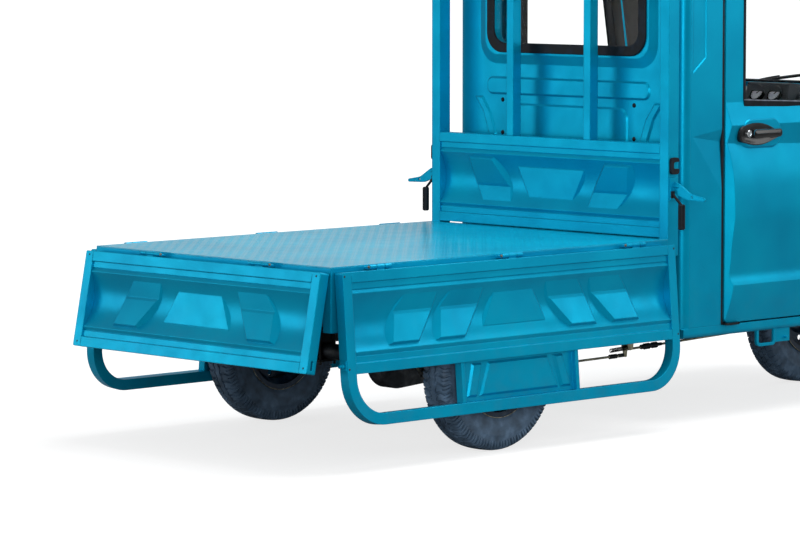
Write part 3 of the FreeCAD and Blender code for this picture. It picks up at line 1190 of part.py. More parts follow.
def make_cab_fittings():
    """Seat, battery under it, dashboard, wheel arch, lamps, bumper and mirrors."""
    parts = {}
    shell = box(SEAT_REAR, SEAT_FRONT, -SEAT_HALF, SEAT_HALF, CAB_FLOOR, SEAT_TOP)
    sheet = SEAT_SHEET
    hollow = box(SEAT_REAR + sheet, SEAT_FRONT - sheet, -SEAT_HALF + sheet, SEAT_HALF - sheet, CAB_FLOOR,
                 SEAT_TOP - sheet)
    parts["seat_base"] = shell.cut(hollow)
    parts["battery_pack"] = box(SEAT_REAR + 30, SEAT_FRONT - 30, -BATTERY_HALF, BATTERY_HALF, CAB_FLOOR,
                                CAB_FLOOR + BATTERY_HEIGHT)
    cushion = box(SEAT_REAR, SEAT_FRONT + CUSHION_NOSE, -SEAT_HALF, SEAT_HALF, SEAT_TOP + SEAT_GAP,
                  SEAT_TOP + CUSHION_HEIGHT)
    parts["seat_cushion"] = cushion.makeFillet(SEAT_ROUND, cushion.Edges)
    wall = CAB_REAR + CAB_WALL + SEAT_GAP
    back = box(wall, wall + BACK_THICKNESS, -SEAT_HALF, SEAT_HALF, BACK_LOW, BACK_HIGH)
    parts["seat_back"] = back.makeFillet(SEAT_ROUND, back.Edges)
    arch = plate_xz(arch_outline(ARCH_RADIUS + ARCH_SHEET), -ARCH_HALF, ARCH_HALF)
    arch = arch.cut(plate_xz(arch_outline(ARCH_RADIUS), -ARCH_HALF + ARCH_SHEET, ARCH_HALF - ARCH_SHEET))
    arch = arch.common(cab_block(CAB_WALL)).common(box(0, FAR, -FAR, FAR, CAB_FLOOR, FAR))
    arch = arch.cut(rod(steer_point(500), steer_point(700), HEAD_RADIUS + SEAT_GAP))
    parts["wheel_arch"] = arch
    rear = DASH_REAR
    dash = plate_xz([(rear + 20, DASH_LOW, 20), (rear, DASH_TOP - 75, 30), (rear + 40, DASH_TOP, 30),
                     (rear + DASH_DEPTH, DASH_TOP, 0), (rear + DASH_DEPTH, DASH_LOW, 0)],
                    -CAB_HALF, CAB_HALF)
    dash = dash.common(cab_block(CAB_WALL))
    pod = plate_xz([(rear - 22, DIAL_Z - 45, 12), (rear - 14, DIAL_Z + 42, 12),
                    (rear + 60, DASH_TOP + 30, 14), (rear + 90, DASH_TOP - 20, 0),
                    (rear + 60, DIAL_Z - 50, 0)], -2.4 * DIAL_Y, 2.4 * DIAL_Y)
    dials = [rod((rear - 25, y, DIAL_Z), (rear, y, DIAL_Z), DIAL_RADIUS) for y in (-DIAL_Y, DIAL_Y)]
    parts["dashboard"] = joined([dash, pod] + dials)
    lamps = []
    for y in (-HEADLAMP_Y, HEADLAMP_Y):
        lamp = rod((NOSE_FRONT - 88, y, HEADLAMP_Z), (FAR, y, HEADLAMP_Z), HEADLAMP_RADIUS)
        lamps.append(lamp.common(cab_block(-4)))
    parts["headlamps"] = set_apart(lamps)
    band = cab_block(-BUMPER_OUT).cut(cab_block(0))
    parts["front_bumper"] = band.common(box(NOSE_FRONT - BUMPER_RETURN, FAR, -FAR, FAR, BUMPER_LOW,
                                            BUMPER_LOW + BUMPER_HEIGHT))
    near = CAB_HALF + 25
    head = box(MIRROR_X - 15, MIRROR_X + 15, near, near + MIRROR_WIDTH, MIRROR_LOW,
               MIRROR_LOW + MIRROR_HEIGHT)
    head = head.makeFillet(12, head.Edges)
    arm = rod((MIRROR_X, CAB_HALF - 40, COWL_Z + 15), (MIRROR_X, near + 35, MIRROR_LOW + 10), MIRROR_ARM)
    parts["mirrors"] = both_sides(joined([head, arm]).cut(cab_block(0)))
    return parts


def arch_outline(radius):
    """Wheel arch outline in XZ: a half round over the front wheel, open below."""
    x = FRONT_AXLE_X
    return [(x - radius, AXLE_Z, 0), (x + radius, AXLE_Z, 0), (x + radius, AXLE_Z + radius, radius - 1),
            (x - radius, AXLE_Z + radius, radius - 1)]


def door_hinge_leaf(z, side, low, high):
    """One leaf of a left door hinge: a barrel and a flat plate towards the rear (-1) or front (+1)."""
    barrel = rod((DOOR_AXIS_X, DOOR_AXIS_Y, z + low), (DOOR_AXIS_X, DOOR_AXIS_Y, z + high), BARREL_RADIUS)
    x0, x1 = sorted((DOOR_AXIS_X, DOOR_AXIS_X + side * 46))
    leaf = barrel.fuse(box(x0, x1, CAB_HALF - 1, CAB_HALF + 3, z + low, z + high))
    if side > 0:
        x0 = DOOR_FRONT + DOOR_GAP + SEAL_WIDTH
        leaf = leaf.fuse(box(x0, x1, CAB_HALF - 10, CAB_HALF, z + low, z + high))
    return leaf


def skin_wire(x, drop):
    """Closed section of the door skin's bulge at one X: two sharp creases, smooth curves between."""
    points = [V(x, CAB_HALF + out, z - (drop if low else 0.0)) for z, out, low in SKIN_LINE]
    edges = [Part.makeLine(points[0], points[1]), Part.makeLine(points[1], points[2])]
    for run in (points[2:SKIN_CREASE + 1], points[SKIN_CREASE:]):
        curve = Part.BSplineCurve()
        curve.interpolate(run)
        edges.append(curve.toShape())
    back = [V(x, CAB_HALF - SKIN_ROOT, points[-1].z), V(x, CAB_HALF - SKIN_ROOT, points[0].z)]
    for start, end in ((points[-1], back[0]), (back[0], back[1]), (back[1], points[0])):
        edges.append(Part.makeLine(start, end))
    return Part.Wire(edges)


def door_skin():
    """Pressed bulge of the left door's skin, lofted along the door and cut by a facet at each end."""
    loft = Part.makeLoft([skin_wire(DOOR_REAR - 1, 0.0), skin_wire(DOOR_FRONT + 1, CREASE_FALL)], True, True)
    reach = SKIN_FACET
    facets = plate_xy([(DOOR_REAR, CAB_HALF - 2 * SKIN_ROOT), (DOOR_FRONT, CAB_HALF - 2 * SKIN_ROOT),
                       (DOOR_FRONT, CAB_HALF), (DOOR_FRONT - reach, CAB_HALF + reach),
                       (DOOR_REAR + reach, CAB_HALF + reach), (DOOR_REAR, CAB_HALF)], CAB_FLOOR, CAB_ROOF)
    return loft.common(facets).common(plate_xz(door_outline(0), CAB_HALF - 2 * SKIN_ROOT, CAB_HALF + reach))


def door_handle():
    """Oval handle bowl with its lever on the left door."""
    x0 = DOOR_REAR + HANDLE_REAR
    half = HANDLE_HALF
    bowl = plate_xz(rectangle(x0, x0 + HANDLE_LENGTH, HANDLE_Z - half, HANDLE_Z + half, half - 4),
                    CAB_HALF - 2, CAB_HALF + HANDLE_OUT)
    face = [e for e in bowl.Edges if min(v.Y for v in e.Vertexes) > CAB_HALF + HANDLE_OUT - 0.5]
    bowl = bowl.makeChamfer(5, face)
    lever = plate_xz(rectangle(x0 + 50, x0 + HANDLE_LENGTH - 6, HANDLE_Z - 14, HANDLE_Z + 14, 12),
                     CAB_HALF + HANDLE_OUT - 2, CAB_HALF + HANDLE_OUT + 12)
    return bowl.fuse(lever)


def make_doors():
    """Two doors, each a pressed skin on a windowed shell, with its glass."""
    parts = {}
    block = cab_block(0).cut(cab_block(DOOR_THICKNESS))
    leaf = plate_xz(door_outline(0), CAB_HALF - 70, CAB_HALF + 5)
    opening = plate_xz(window_outline(0), CAB_HALF - 70, CAB_HALF + SKIN_FACET)
    door = block.common(leaf)
    glass = plate_xz(window_outline(-0.5), CAB_HALF - 22, CAB_HALF - 18)
    leaves = [door_hinge_leaf(z, -1, 0.0, BARREL_HEIGHT) for z in DOOR_HINGES]
    reach = 2 * BARREL_HEIGHT
    bores = [rod((DOOR_AXIS_X, DOOR_AXIS_Y, z - reach), (DOOR_AXIS_X, DOOR_AXIS_Y, z + reach),
                 DOOR_PIN + PIN_FIT) for z in DOOR_HINGES]
    door_set = joined([door, door_skin(), door_handle()] + leaves).cut(bores + [opening])
    for name, side in (("left", 1), ("right", -1)):
        parts["door_" + name] = door_set if side > 0 else door_set.mirror(CENTRE, V(0, 1, 0))
        parts["door_glass_" + name] = glass if side > 0 else glass.mirror(CENTRE, V(0, 1, 0))
    return parts


def steer_point(height):
    """Point on the steering axis at a height."""
    x = FRONT_AXLE_X - STEER_OFFSET - (height - AXLE_Z) * math.tan(math.radians(STEER_RAKE))
    return (x, 0, height)


def make_steering():
    """Fork, column and handlebar that turn together."""
    rake = math.radians(STEER_RAKE)
    along = V(-math.sin(rake), 0, math.cos(rake))
    axle = V(FRONT_AXLE_X, 0, AXLE_Z)
    leg_y = TYRE_WIDTH / 2 + FORK_SIDE_GAP
    crown = axle + along * (TYRE_RADIUS + FORK_TOP_GAP)
    legs = []
    for side in (-1, 1):
        foot = axle + V(0, side * leg_y, 0)
        top = crown + V(0, side * leg_y, 0)
        legs.append(rod(tuple(foot - along * 20), tuple(top), FORK_LEG))
    bridge = rod(tuple(crown + V(0, -leg_y, 0)), tuple(crown + V(0, leg_y, 0)), FORK_BRIDGE)
    spindle = rod(tuple(axle + V(0, -leg_y, 0)), tuple(axle + V(0, leg_y, 0)), HUB_BORE)
    low = steer_point(crown.z - 10)
    column = rod(low, steer_point(STEM_Z), COLUMN_RADIUS)
    link = rod(tuple(crown), low, FORK_BRIDGE)
    parts = {"front_fork": joined(legs + [bridge, spindle, column, link])}
    high = steer_point(STEM_Z + 30.0)
    top = V(*high)
    stem = rod(steer_point(STEM_Z), tuple(top + along * STEM_RADIUS), STEM_RADIUS)
    half_bar = [V(-140, 330, 20), V(-40, 210, 60), V(12, 70, 8)]
    line = [top + V(p.x, -p.y, p.z) for p in half_bar] + [top + p for p in reversed(half_bar)]
    bar = bent_tube([tuple(p) for p in line], BAR_RADIUS, BAR_BEND)
    parts["handlebar"] = joined([bar, stem])
    return parts


def make_parts():
    """Every part by name, in building coordinates."""
    parts = {}
    for group in (make_deck, make_headboard, make_gates, make_chassis, make_running_gear, make_wheels,
                  make_cab, make_doors, make_steering):
        parts.update(group())
    return parts


def box_middle(parts):
    """X of the middle of the whole truck's box."""
    boxes = [shape.optimalBoundingBox(False, False) for shape in parts.values()]
    return (min(b.XMin for b in boxes) + max(b.XMax for b in boxes)) / 2


def main():
    """Build the parts, centre them and write one STEP file for each."""
    os.makedirs("parts", exist_ok=True)
    parts = make_parts()
    shift = box_middle(parts)
    for name, shape in parts.items():
        shape.translate(V(-shift, 0, 0))
        shape.exportStep("parts/" + name + ".step")


main()
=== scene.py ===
import math

import bmesh
import bpy
import numpy as np
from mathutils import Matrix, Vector


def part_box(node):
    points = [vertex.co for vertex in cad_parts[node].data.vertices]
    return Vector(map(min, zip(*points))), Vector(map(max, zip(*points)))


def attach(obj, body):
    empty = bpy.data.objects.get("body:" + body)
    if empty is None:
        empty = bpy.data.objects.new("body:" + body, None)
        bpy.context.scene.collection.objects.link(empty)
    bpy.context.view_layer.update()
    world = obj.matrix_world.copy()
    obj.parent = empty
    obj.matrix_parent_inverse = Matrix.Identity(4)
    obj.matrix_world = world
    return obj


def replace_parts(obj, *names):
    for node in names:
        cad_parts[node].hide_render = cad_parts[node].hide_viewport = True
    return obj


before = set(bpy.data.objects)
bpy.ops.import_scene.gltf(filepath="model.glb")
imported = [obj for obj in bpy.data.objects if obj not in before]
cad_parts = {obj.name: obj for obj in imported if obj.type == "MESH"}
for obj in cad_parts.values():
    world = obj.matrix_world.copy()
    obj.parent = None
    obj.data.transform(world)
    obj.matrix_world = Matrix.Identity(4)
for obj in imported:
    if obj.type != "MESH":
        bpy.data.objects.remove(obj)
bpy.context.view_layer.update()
scene = bpy.context.scene

# Sizes are in millimetres from the deck's rear edge, the middle and the ground; placed() makes them metres.
DECK_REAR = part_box("deck_plate")[0].x
DECK_TOP, CAB_REAR = 704, 1818
REAR_AXLE_X, REAR_WHEEL_Y, FRONT_AXLE_X, AXLE_Z, TYRE_RADIUS = 811, 578, 3204, 285, 285
# Half widths of side gate and tailgate; the hinge axes' height, and their places behind and beside the deck.
SIDE_HALF, TAIL_HALF, HINGE_Z, HINGE_BACK, HINGE_SIDE = 852, 625, 697, 25, 650
SIDE_LEAN, TAIL_LEAN = math.radians(4.6), math.radians(11.2)
SIDES = (("right", -1), ("left", 1))


def colour(code):
    """Linear light from sRGB hex: each channel c goes to ((c + 0.055) / 1.055) ** 2.4."""
    share = np.array([int(code[i:i + 2], 16) for i in (1, 3, 5)]) / 255
    linear = np.where(share <= 0.04045, share / 12.92, ((share + 0.055) / 1.055) ** 2.4)
    return (*linear.tolist(), 1)


# ---- Places and lines

def placed(x, y, z):
    """The frame's metres from millimetres: (x / 1000 + the deck's rear edge, y / 1000, z / 1000)."""
    x, y, z = np.broadcast_arrays(np.asarray(x, float), y, z)
    return np.stack([x / 1000 + DECK_REAR, y / 1000, z / 1000], -1)


def millimetres(places):
    """Millimetres again: (x - the deck's rear edge, y, z) times 1000."""
    return places * 1000 - [DECK_REAR * 1000, 0, 0]


def unit(rows):
    """Each row divided by its length."""
    return rows / np.linalg.norm(rows, axis=1)[:, None]


def circle(steps):
    """Angles at even steps once round a circle."""
    return np.linspace(0, 2 * np.pi, steps, endpoint=False)


def on_gate(gate, s, t, depth):
    """Places on a hanging gate, s along it, t down from its hinge edge and depth behind its front: (depth - 20,
    -11 - t) turned by the gate's lean about its hinge axis."""
    lean = TAIL_LEAN if gate == "tailgate" else SIDE_LEAN
    s, across, up = np.broadcast_arrays(np.asarray(s, float), np.asarray(depth, float) - 20,
                                        -11 - np.asarray(t, float))
    out = across * math.cos(lean) + up * math.sin(lean)
    height = HINGE_Z - across * math.sin(lean) + up * math.cos(lean)
    if gate == "tailgate":
        return placed(out - HINGE_BACK, -s, height)
    return placed(SIDE_HALF + s, (out - HINGE_SIDE) * (1 if gate == "right_gate" else -1), height)


def rounded(corners, radius, steps):
    """Closed plane path with an arc at each corner: centre + (sin((1 - t) w) a + sin(t w) b) / sin w for t from 0
    to 1, where a and b are the arc's ends from its centre and w is the angle between them."""
    here = np.array(corners, float)
    back, ahead = unit(np.roll(here, 1, 0) - here), unit(np.roll(here, -1, 0) - here)
    half = np.arccos((back * ahead).sum(1)) / 2
    r = np.broadcast_to(np.asarray(radius, float), half.shape)
    middle = unit(back + ahead)
    centre = here + middle * (r / np.sin(half))[:, None]
    a = here + back * (r / np.tan(half))[:, None] - centre
    b = here + ahead * (r / np.tan(half))[:, None] - centre
    w = (np.pi - 2 * half)[:, None, None]
    t = np.linspace(0, 1, steps)[None, :, None]
    arcs = centre[:, None] + (np.sin((1 - t) * w) * a[:, None] + np.sin(t * w) * b[:, None]) / np.sin(w)
    return arcs.reshape(-1, 2)


# Front of the cab, (x, z) up to the windscreen's foot and (x, y) round its corners; other arcs are cut off.
CAB_LINE = rounded([(1818, 358), (3530, 358), (3536, 418), (3548, 700), (3390, 1150), (3090, 1745), (2500, 1785),
                    (1818, 1740)], [0.1, 0.1, 60, 260, 60, 90, 900, 70], 16)[16:-48]
CAB_PLAN = rounded([(2800, -595), (3548, -550), (3548, 550), (2800, 595)], [900, 190, 190, 900], 24)[24:-24]


def front_x(y, z):
    """The cab's front at (y, z): the lesser of its side line's x and its plan line's x."""
    side = np.interp(z, CAB_LINE[:, 1], CAB_LINE[:, 0])
    plan = np.interp(y, CAB_PLAN[:, 1], CAB_PLAN[:, 0])
    return np.minimum(side, plan)


# ---- Meshes from arrays

def surfaces(name, grids, smooth=40):
    """One mesh from grids of places (..., rows, columns, 3), each with wrap_u, wrap_v and, if it is open, a turn.

    A wrap joins the last row or column to the first. A closed grid is turned outwards by the sign of the sum of
    a . (b x c). Edges over smooth degrees are sharp.
    """
    corners, faces, start = [], [], 0
    for points, wrap_u, wrap_v, *turn in grids:
        rows, columns = points.shape[-3:-1]
        copies = points.reshape(-1, rows * columns, 3)
        i, j = np.meshgrid(np.arange(rows if wrap_u else rows - 1),
                           np.arange(columns if wrap_v else columns - 1), indexing="ij")
        i2, j2 = (i + 1) % rows, (j + 1) % columns
        quads = np.stack([i * columns + j, i2 * columns + j, i2 * columns + j2, i * columns + j2], -1).reshape(-1, 4)
        a, b, c, d = (copies[0][quads[:, k]] - copies[0].mean(0) for k in range(4))
        inward = (np.einsum("ij,ij->i", a, np.cross(b, c)) + np.einsum("ij,ij->i", a, np.cross(c, d))).sum() < 0
        if turn[0] if turn else inward:
            quads = quads[:, ::-1]
        each = np.arange(len(copies))[:, None, None] * rows * columns
        faces.append((quads[None] + each).reshape(-1, 4) + start)
        corners.append(copies.reshape(-1, 3))
        start += copies.shape[0] * rows * columns
    mesh = bpy.data.meshes.new(name)
    mesh.from_pydata(np.concatenate(corners), [], np.concatenate(faces))
    welded = bmesh.new()
    welded.from_mesh(mesh)
    bmesh.ops.remove_doubles(welded, verts=welded.verts, dist=2e-6)
    welded.to_mesh(mesh)
    welded.free()
    mesh.shade_smooth()
    mesh.set_sharp_from_angle(angle=math.radians(smooth))
    piece = bpy.data.objects.new(name, mesh)
    scene.collection.objects.link(piece)
    return piece


def square_to(axis):
    """An axis of length 1 and two directions square to it and to each other."""
    axis = np.array(axis, float) / np.linalg.norm(axis)
    p = np.cross(axis, [0, 0, 1] if abs(axis[2]) < 0.9 else [1, 0, 0])
    p /= np.linalg.norm(p)
    return axis, p, np.cross(axis, p)


def turned(profile, centres, axis, steps):
    """Grids of a profile (r, h) turned about an axis through each centre: centre + h axis + r (p cos a + q sin a)."""
    axis, p, q = square_to(axis)
    a = circle(steps)[:, None, None]
    r, h = np.array(profile, float).T[:, None, :, None]
    around = (h * axis + r * (np.cos(a) * p + np.sin(a) * q)) / 1000
    centres = np.atleast_2d(np.array(centres, float))
    return placed(*centres.T)[:, None, None] + around, True, False


def capped(rings, ends=None):
    """Rings closed to a point at each end: the ends given, or the end rings' middles."""
    first, last = [rings[k].mean(0) for k in (0, -1)] if ends is None else ends
    return np.concatenate([np.repeat(first[None, None], rings.shape[1], 1), rings,
                           np.repeat(last[None, None], rings.shape[1], 1)])


def carried(path, radius, steps):
    """Grid of a round section carried square to a path in millimetres: path + radius (p cos a + q sin a)."""
    path = placed(*np.array(path, float).T)
    along = unit(np.gradient(path, axis=0))
    p = unit(np.cross(along, [0.13, 0.21, 1]))
    q = np.cross(along, p)
    radius = np.broadcast_to(np.asarray(radius, float) / 1000, (len(path),))
    a = circle(steps)
    ring = (np.cos(a)[:, None] * p[:, None] + np.sin(a)[:, None] * q[:, None]) * radius[:, None, None]
    return capped(path[:, None] + ring, path[[0, -1]]), False, True


def smooth_line(points, steps=8):
    """Catmull-Rom line through points: on each stretch (-t + 2t^2 - t^3, 2 - 5t^2 + 3t^3, ...) / 2 of four."""
    points = np.array(points, float)
    ends = np.concatenate([2 * points[:1] - points[1:2], points, 2 * points[-1:] - points[-2:-1]])
    t = np.linspace(0, 1, steps, endpoint=False)[None, :, None]
    a, b, c, d = (ends[k:len(ends) - 3 + k][:, None] for k in range(4))
    line = (a * (-t + 2 * t**2 - t**3) + b * (2 - 5 * t**2 + 3 * t**3) + c * (t + 4 * t**2 - 3 * t**3)
            + d * (t**3 - t**2)) / 2
    return np.concatenate([line.reshape(-1, points.shape[1]), points[-1:]])


def moulding(path, section, across, closed=True):
    """Grid of a closed section (a, b) carried along a path in millimetres: path + a side + b across, where side is
    the path's direction crossed with across."""
    path = placed(*np.array(path, float).T)
    across = np.array(across, float) / np.linalg.norm(across)
    along = np.roll(path, -1, 0) - np.roll(path, 1, 0) if closed else np.gradient(path, axis=0)
    side = unit(np.cross(along, across))
    a, b = np.array(section, float).T / 1000
    rings = path[:, None] + a[None, :, None] * side[:, None] + b[None, :, None] * across
    return rings if closed else capped(rings), closed, True


def domed(outline, levels, to_place):
    """Grid of rings outline(inset) at a height, one for each (inset, height) of levels, by to_place(a, b, height)."""
    return np.stack([to_place(*outline(inset).T, height) for inset, height in levels]), False, True


def strip(a, b, thickness):
    """Closed band between two lines of places, its thickness along the normal."""
    normal = unit(np.cross(np.gradient(a, axis=0), b - a))
    return capped(np.stack([a, a + normal * thickness, b + normal * thickness, b], 1)), False, True


def dress(piece, finish):
    """Gives a piece its one material."""
    piece.data.materials.clear()
    piece.data.materials.append(finish)


def fit(name, grids, finish, body="truck", smooth=40):
    """New piece from grids, with its material and the body that it rides on."""
    piece = surfaces(name, grids, smooth)
    dress(piece, finish)
    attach(piece, body)
    return piece


# ---- Materials

def put(tree, kind, sockets=None, **settings):
    """Adds one shader node: sockets are its inputs, as values or other nodes' outputs."""
    made = tree.nodes.new("ShaderNode" + kind)
    for key, value in settings.items():
        setattr(made, key, value)
    for key, value in (sockets or {}).items():
        if isinstance(value, bpy.types.NodeSocket):
            tree.links.new(value, made.inputs[key])
        else:
            made.inputs[key].default_value = value
    return made


def ramp(tree, factor, stops):
    """Colour ramp through (place, hex colour or grey value) stops."""
    made = put(tree, "ValToRGB", {"Fac": factor})
    band = made.color_ramp.elements
    while len(band) < len(stops):
        band.new(0.5)
    for stop, (place, shade) in zip(band, stops):
        stop.position = place
        stop.color = colour(shade) if isinstance(shade, str) else (shade, shade, shade, 1)
    return made.outputs["Color"]


def noise(tree, where, size, detail):
    """Noise whose blobs are about size metres across."""
    return put(tree, "TexNoise", {"Vector": where, "Scale": 1 / size, "Detail": detail}).outputs["Fac"]


def material(name, metal=0, **fixed):
    """New material, its tree, shader and Object coordinates; fixed values go on the shader."""
    made = bpy.data.materials.new(name)
    made.use_nodes = True
    tree = made.node_tree
    shader = tree.nodes["Principled BSDF"]
    shader.inputs["Metallic"].default_value = metal
    for key, value in fixed.items():
        shader.inputs[key.replace("_", " ")].default_value = value
    return made, tree, shader, put(tree, "TexCoord").outputs["Object"]


def feed(tree, shader, base, rough, height=None, distance=0, strength=1, edge=0):
    """Joins colour, roughness and a bump whose height is in metres; edge is the radius that edges catch light at."""
    tree.links.new(base, shader.inputs["Base Color"])
    tree.links.new(rough, shader.inputs["Roughness"])
    if height is not None:
        sockets = {"Height": height, "Distance": distance, "Strength": strength}
        if edge:
            sockets["Normal"] = put(tree, "Bevel", {"Radius": edge}, samples=4).outputs[0]
        tree.links.new(put(tree, "Bump", sockets).outputs[0], shader.inputs["Normal"])


def times(tree, a, b):
    """Product of two values."""
    return put(tree, "Math", {0: a, 1: b}, operation="MULTIPLY").outputs[0]


def stoved_enamel(name, light, mid, dark, metal, rough, coat):
    """Metallic enamel stoved on pressed steel: slow shifts of shade, orange peel, and road dust below the deck."""
    made, tree, shader, where = material(name, metal, Specular_IOR_Level=0.05, Coat_Weight=coat, Coat_Roughness=0.2)
    shade = ramp(tree, noise(tree, where, 0.3, 2), [(0.3, dark), (0.5, mid), (0.72, light)])
    height = put(tree, "SeparateXYZ", {"Vector": where}).outputs["Z"]
    patches = ramp(tree, noise(tree, where, 0.05, 6), [(0.45, 0), (0.75, 0.3)])
    dust = times(tree, patches, ramp(tree, height, [(0.1, 0.5), (0.62, 0)]))
    gloss = ramp(tree, noise(tree, where, 0.08, 4), [(0.3, rough - 0.04), (0.7, rough + 0.05)])
    dusty = put(tree, "Mix", {0: dust, 6: shade, 7: colour("#4D7F8C")}, data_type="RGBA").outputs[2]
    feed(tree, shader, dusty, gloss, noise(tree, where, 0.004, 1), 0.00006, 0.35, 0.004)
    return made


def worn(name, low, mid, high, metal, rough, grain, height, spot, edge=0.0015, **fixed):
    """Finish in three tones: patches spot metres across, and a skin grain metres across."""
    made, tree, shader, where = material(name, metal, **fixed)
    patches = noise(tree, where, spot, 5)
    feed(tree, shader, ramp(tree, patches, [(0.32, low), (0.52, mid), (0.74, high)]),
         ramp(tree, patches, [(0.3, rough - 0.06), (0.75, rough + 0.08)]),
         noise(tree, where, grain, 4), height, 0.6, edge)
    return made


def moulded_plastic(name, dark, light, rough):
    """Injection-moulded plastic: a slow change of gloss, and a fine grain drawn 1 mm wide."""
    made, tree, shader, where = material(name)
    cells = put(tree, "TexVoronoi", {"Vector": where, "Scale": 1 / 0.0011}).outputs["Distance"]
    tone = noise(tree, where, 0.08, 3)
    feed(tree, shader, ramp(tree, tone, [(0.3, dark), (0.7, light)]),
         ramp(tree, tone, [(0.3, rough - 0.06), (0.7, rough + 0.06)]), cells, 0.0001, 0.5, 0.0015)
    return made


def seat_vinyl():
    """Calendered seat vinyl: a grain of creased cells about 2 mm across and a low sheen."""
    made, tree, shader, where = material("grained_seat_vinyl", Sheen_Weight=0.15)
    cells = put(tree, "TexVoronoi", {"Vector": where, "Scale": 450}, feature="DISTANCE_TO_EDGE")
    tone = noise(tree, where, 0.12, 3)
    feed(tree, shader, ramp(tree, tone, [(0.3, "#15171A"), (0.75, "#2A2D31")]),
         ramp(tree, tone, [(0.3, 0.42), (0.8, 0.56)]),
         ramp(tree, cells.outputs["Distance"], [(0, 0), (0.25, 1)]), 0.0003, 0.6)
    return made


def tyre_rubber():
    """Vulcanised tyre rubber: patches of blue-grey bloom and dry dust on a pebbled skin."""
    made, tree, shader, where = material("vulcanised_tyre_rubber", Specular_IOR_Level=0.35)
    bloom = noise(tree, where, 0.045, 6)
    shade = ramp(tree, bloom, [(0.3, "#384A5C"), (0.55, "#4F667D"), (0.8, "#6F8AA6")])
    feed(tree, shader, shade, ramp(tree, bloom, [(0.3, 0.5), (0.8, 0.72)]),
         noise(tree, where, 0.0016, 4), 0.0005, 0.7)
    return made


def window_glass():
    """Tempered window glass: clear, with thin dry dust in patches."""
    made, tree, shader, where = material("tempered_window_glass", Transmission_Weight=1, IOR=1.05)
    dust = noise(tree, where, 0.15, 5)
    feed(tree, shader, ramp(tree, dust, [(0.3, "#FEFFFF"), (0.8, "#F8FBFA")]),
         ramp(tree, dust, [(0.4, 0), (0.8, 0.03)]))
    return made


def lamp_lens(name, low, high, clear):
    """Moulded lamp lens with upright flutes 9 mm apart."""
    made, tree, shader, where = material(name, 0.25, Transmission_Weight=clear, IOR=1.49, Coat_Weight=0.8,
                                         Coat_Roughness=0.05)
    flutes = put(tree, "TexWave", {"Vector": where, "Scale": 35}, bands_direction="Y").outputs["Fac"]
    feed(tree, shader, ramp(tree, noise(tree, where, 0.02, 3), [(0.3, low), (0.8, high)]),
         ramp(tree, flutes, [(0, 0.08), (1, 0.2)]), flutes, 0.0008, 0.6, 0.001)
    return made


# Body enamel: turquoise and satin.
BODY_PAINT = stoved_enamel("stoved_turquoise_enamel", "#00A2C6", "#009AC0", "#0091B8", 0.5, 0.35, 0)
# Deck enamel: the same with a wet gloss, its tones painted lighter than the body's for the light that the deck's top
# catches.
DECK_PAINT_PAINTED_LIGHTER = stoved_enamel("stoved_enamel_on_checker_plate_painted_lighter", "#00B4D6", "#00ABCE", "#00A2C5", 0.3, 0.36, 0.85)
# worn() takes three tones, metal, roughness, and the grain's size, its height and the patches' size in metres.
# Chassis: satin black paint, greyed by road dust.
CHASSIS = worn("satin_black_chassis_paint", "#0B1114", "#141B1F", "#3A3D3C", 0, 0.5, 0.004, 0.0004, 0.06,
               Specular_IOR_Level=0.3)
# Sand-cast aluminium: grey and grainy, with oil-dark dust in the pores.
CAST = worn("sand_cast_aluminium", "#1E2226", "#3B4045", "#6C7073", 0.7, 0.52, 0.0025, 0.0006, 0.05)
# Zinc on rods and nuts: yellowish grey, darker where it was handled.
ZINC = worn("zinc_plated_steel", "#6C6858", "#A39E88", "#C8C2A4", 0.9, 0.36, 0.0015, 0.0001, 0.02)
# Hinge pins and catches that lost their zinc: brown rust with a few bright spots.
RUST = worn("rusted_hinge_steel", "#45413A", "#7D7566", "#B3AA90", 0.5, 0.62, 0.0012, 0.0002, 0.006)
# Wheel paint: dark blue-grey on pressed steel, dusty in the dish.
RIM = worn("wheel_paint_dark_grey", "#04182A", "#0C2A42", "#3B4A55", 0.25, 0.4, 0.002, 0.00015, 0.035)
# Rim edge rubbed bright by tyre irons, brown in the scratches.
RIM_EDGE = worn("rubbed_rim_edge_steel", "#4A4436", "#8E8B7C", "#C9C6B6", 0.85, 0.34, 0.001, 0.0002, 0.015)
# Seals: matt black rubber, slightly greyed by age.
SEAL = worn("black_seal_rubber", "#0A0D12", "#12171E", "#1E2530", 0, 0.52, 0.001, 0.0001, 0.03, 0.001,
            Specular_IOR_Level=0.2)
# The sill rubber's upper lip: smooth, in a grey lighter than the seal rubber, a painted highlight along the rubber.
SCRAPER_LIP_HIGHLIGHT = worn("scraper_lip_painted_highlight", "#4A505C", "#6C7280", "#8B909C", 0, 0.4, 0.001, 0.0001, 0.03, 0)
# Handle and bezels: black plastic with a polished mould face.
GLOSS_BLACK = worn("polished_black_plastic", "#07080A", "#0D0F12", "#1C1A1A", 0, 0.16, 0.002, 0.00005, 0.05, 0.001)
# Chromed brass and steel: bright, with a thin haze.
CHROME = worn("bright_chrome_plate", "#B9C0C6", "#D4DADE", "#EEF1F3", 1, 0.14, 0.001, 0.00003, 0.03, 0.0005)
# Mirror glass: silvered, with faint dust.
SILVERED = worn("silvered_mirror_glass", "#C8D0D4", "#DCE3E6", "#E6ECEE", 1, 0.08, 0.002, 0.00001, 0.08, 0)
# Interior trim board: brown-grey grained plastic.
TRIM = moulded_plastic("moulded_brown_grey_trim", "#1F1C1C", "#39332F", 0.55)
# Bumper, mirrors and grille: black. Dashboard: grey and matt.
BLACK_PLASTIC = moulded_plastic("moulded_black_plastic", "#0B0D10", "#1A1D20", 0.42)
GREY_PLASTIC = moulded_plastic("moulded_grey_dashboard_plastic", "#32393F", "#4A5258", 0.55)
# Headliner: pale grey needled felt.
HEADLINER = worn("needled_felt_headliner", "#8F9294", "#A6A8A9", "#B8BABA", 0, 0.88, 0.0009, 0.0004, 0.04, 0)
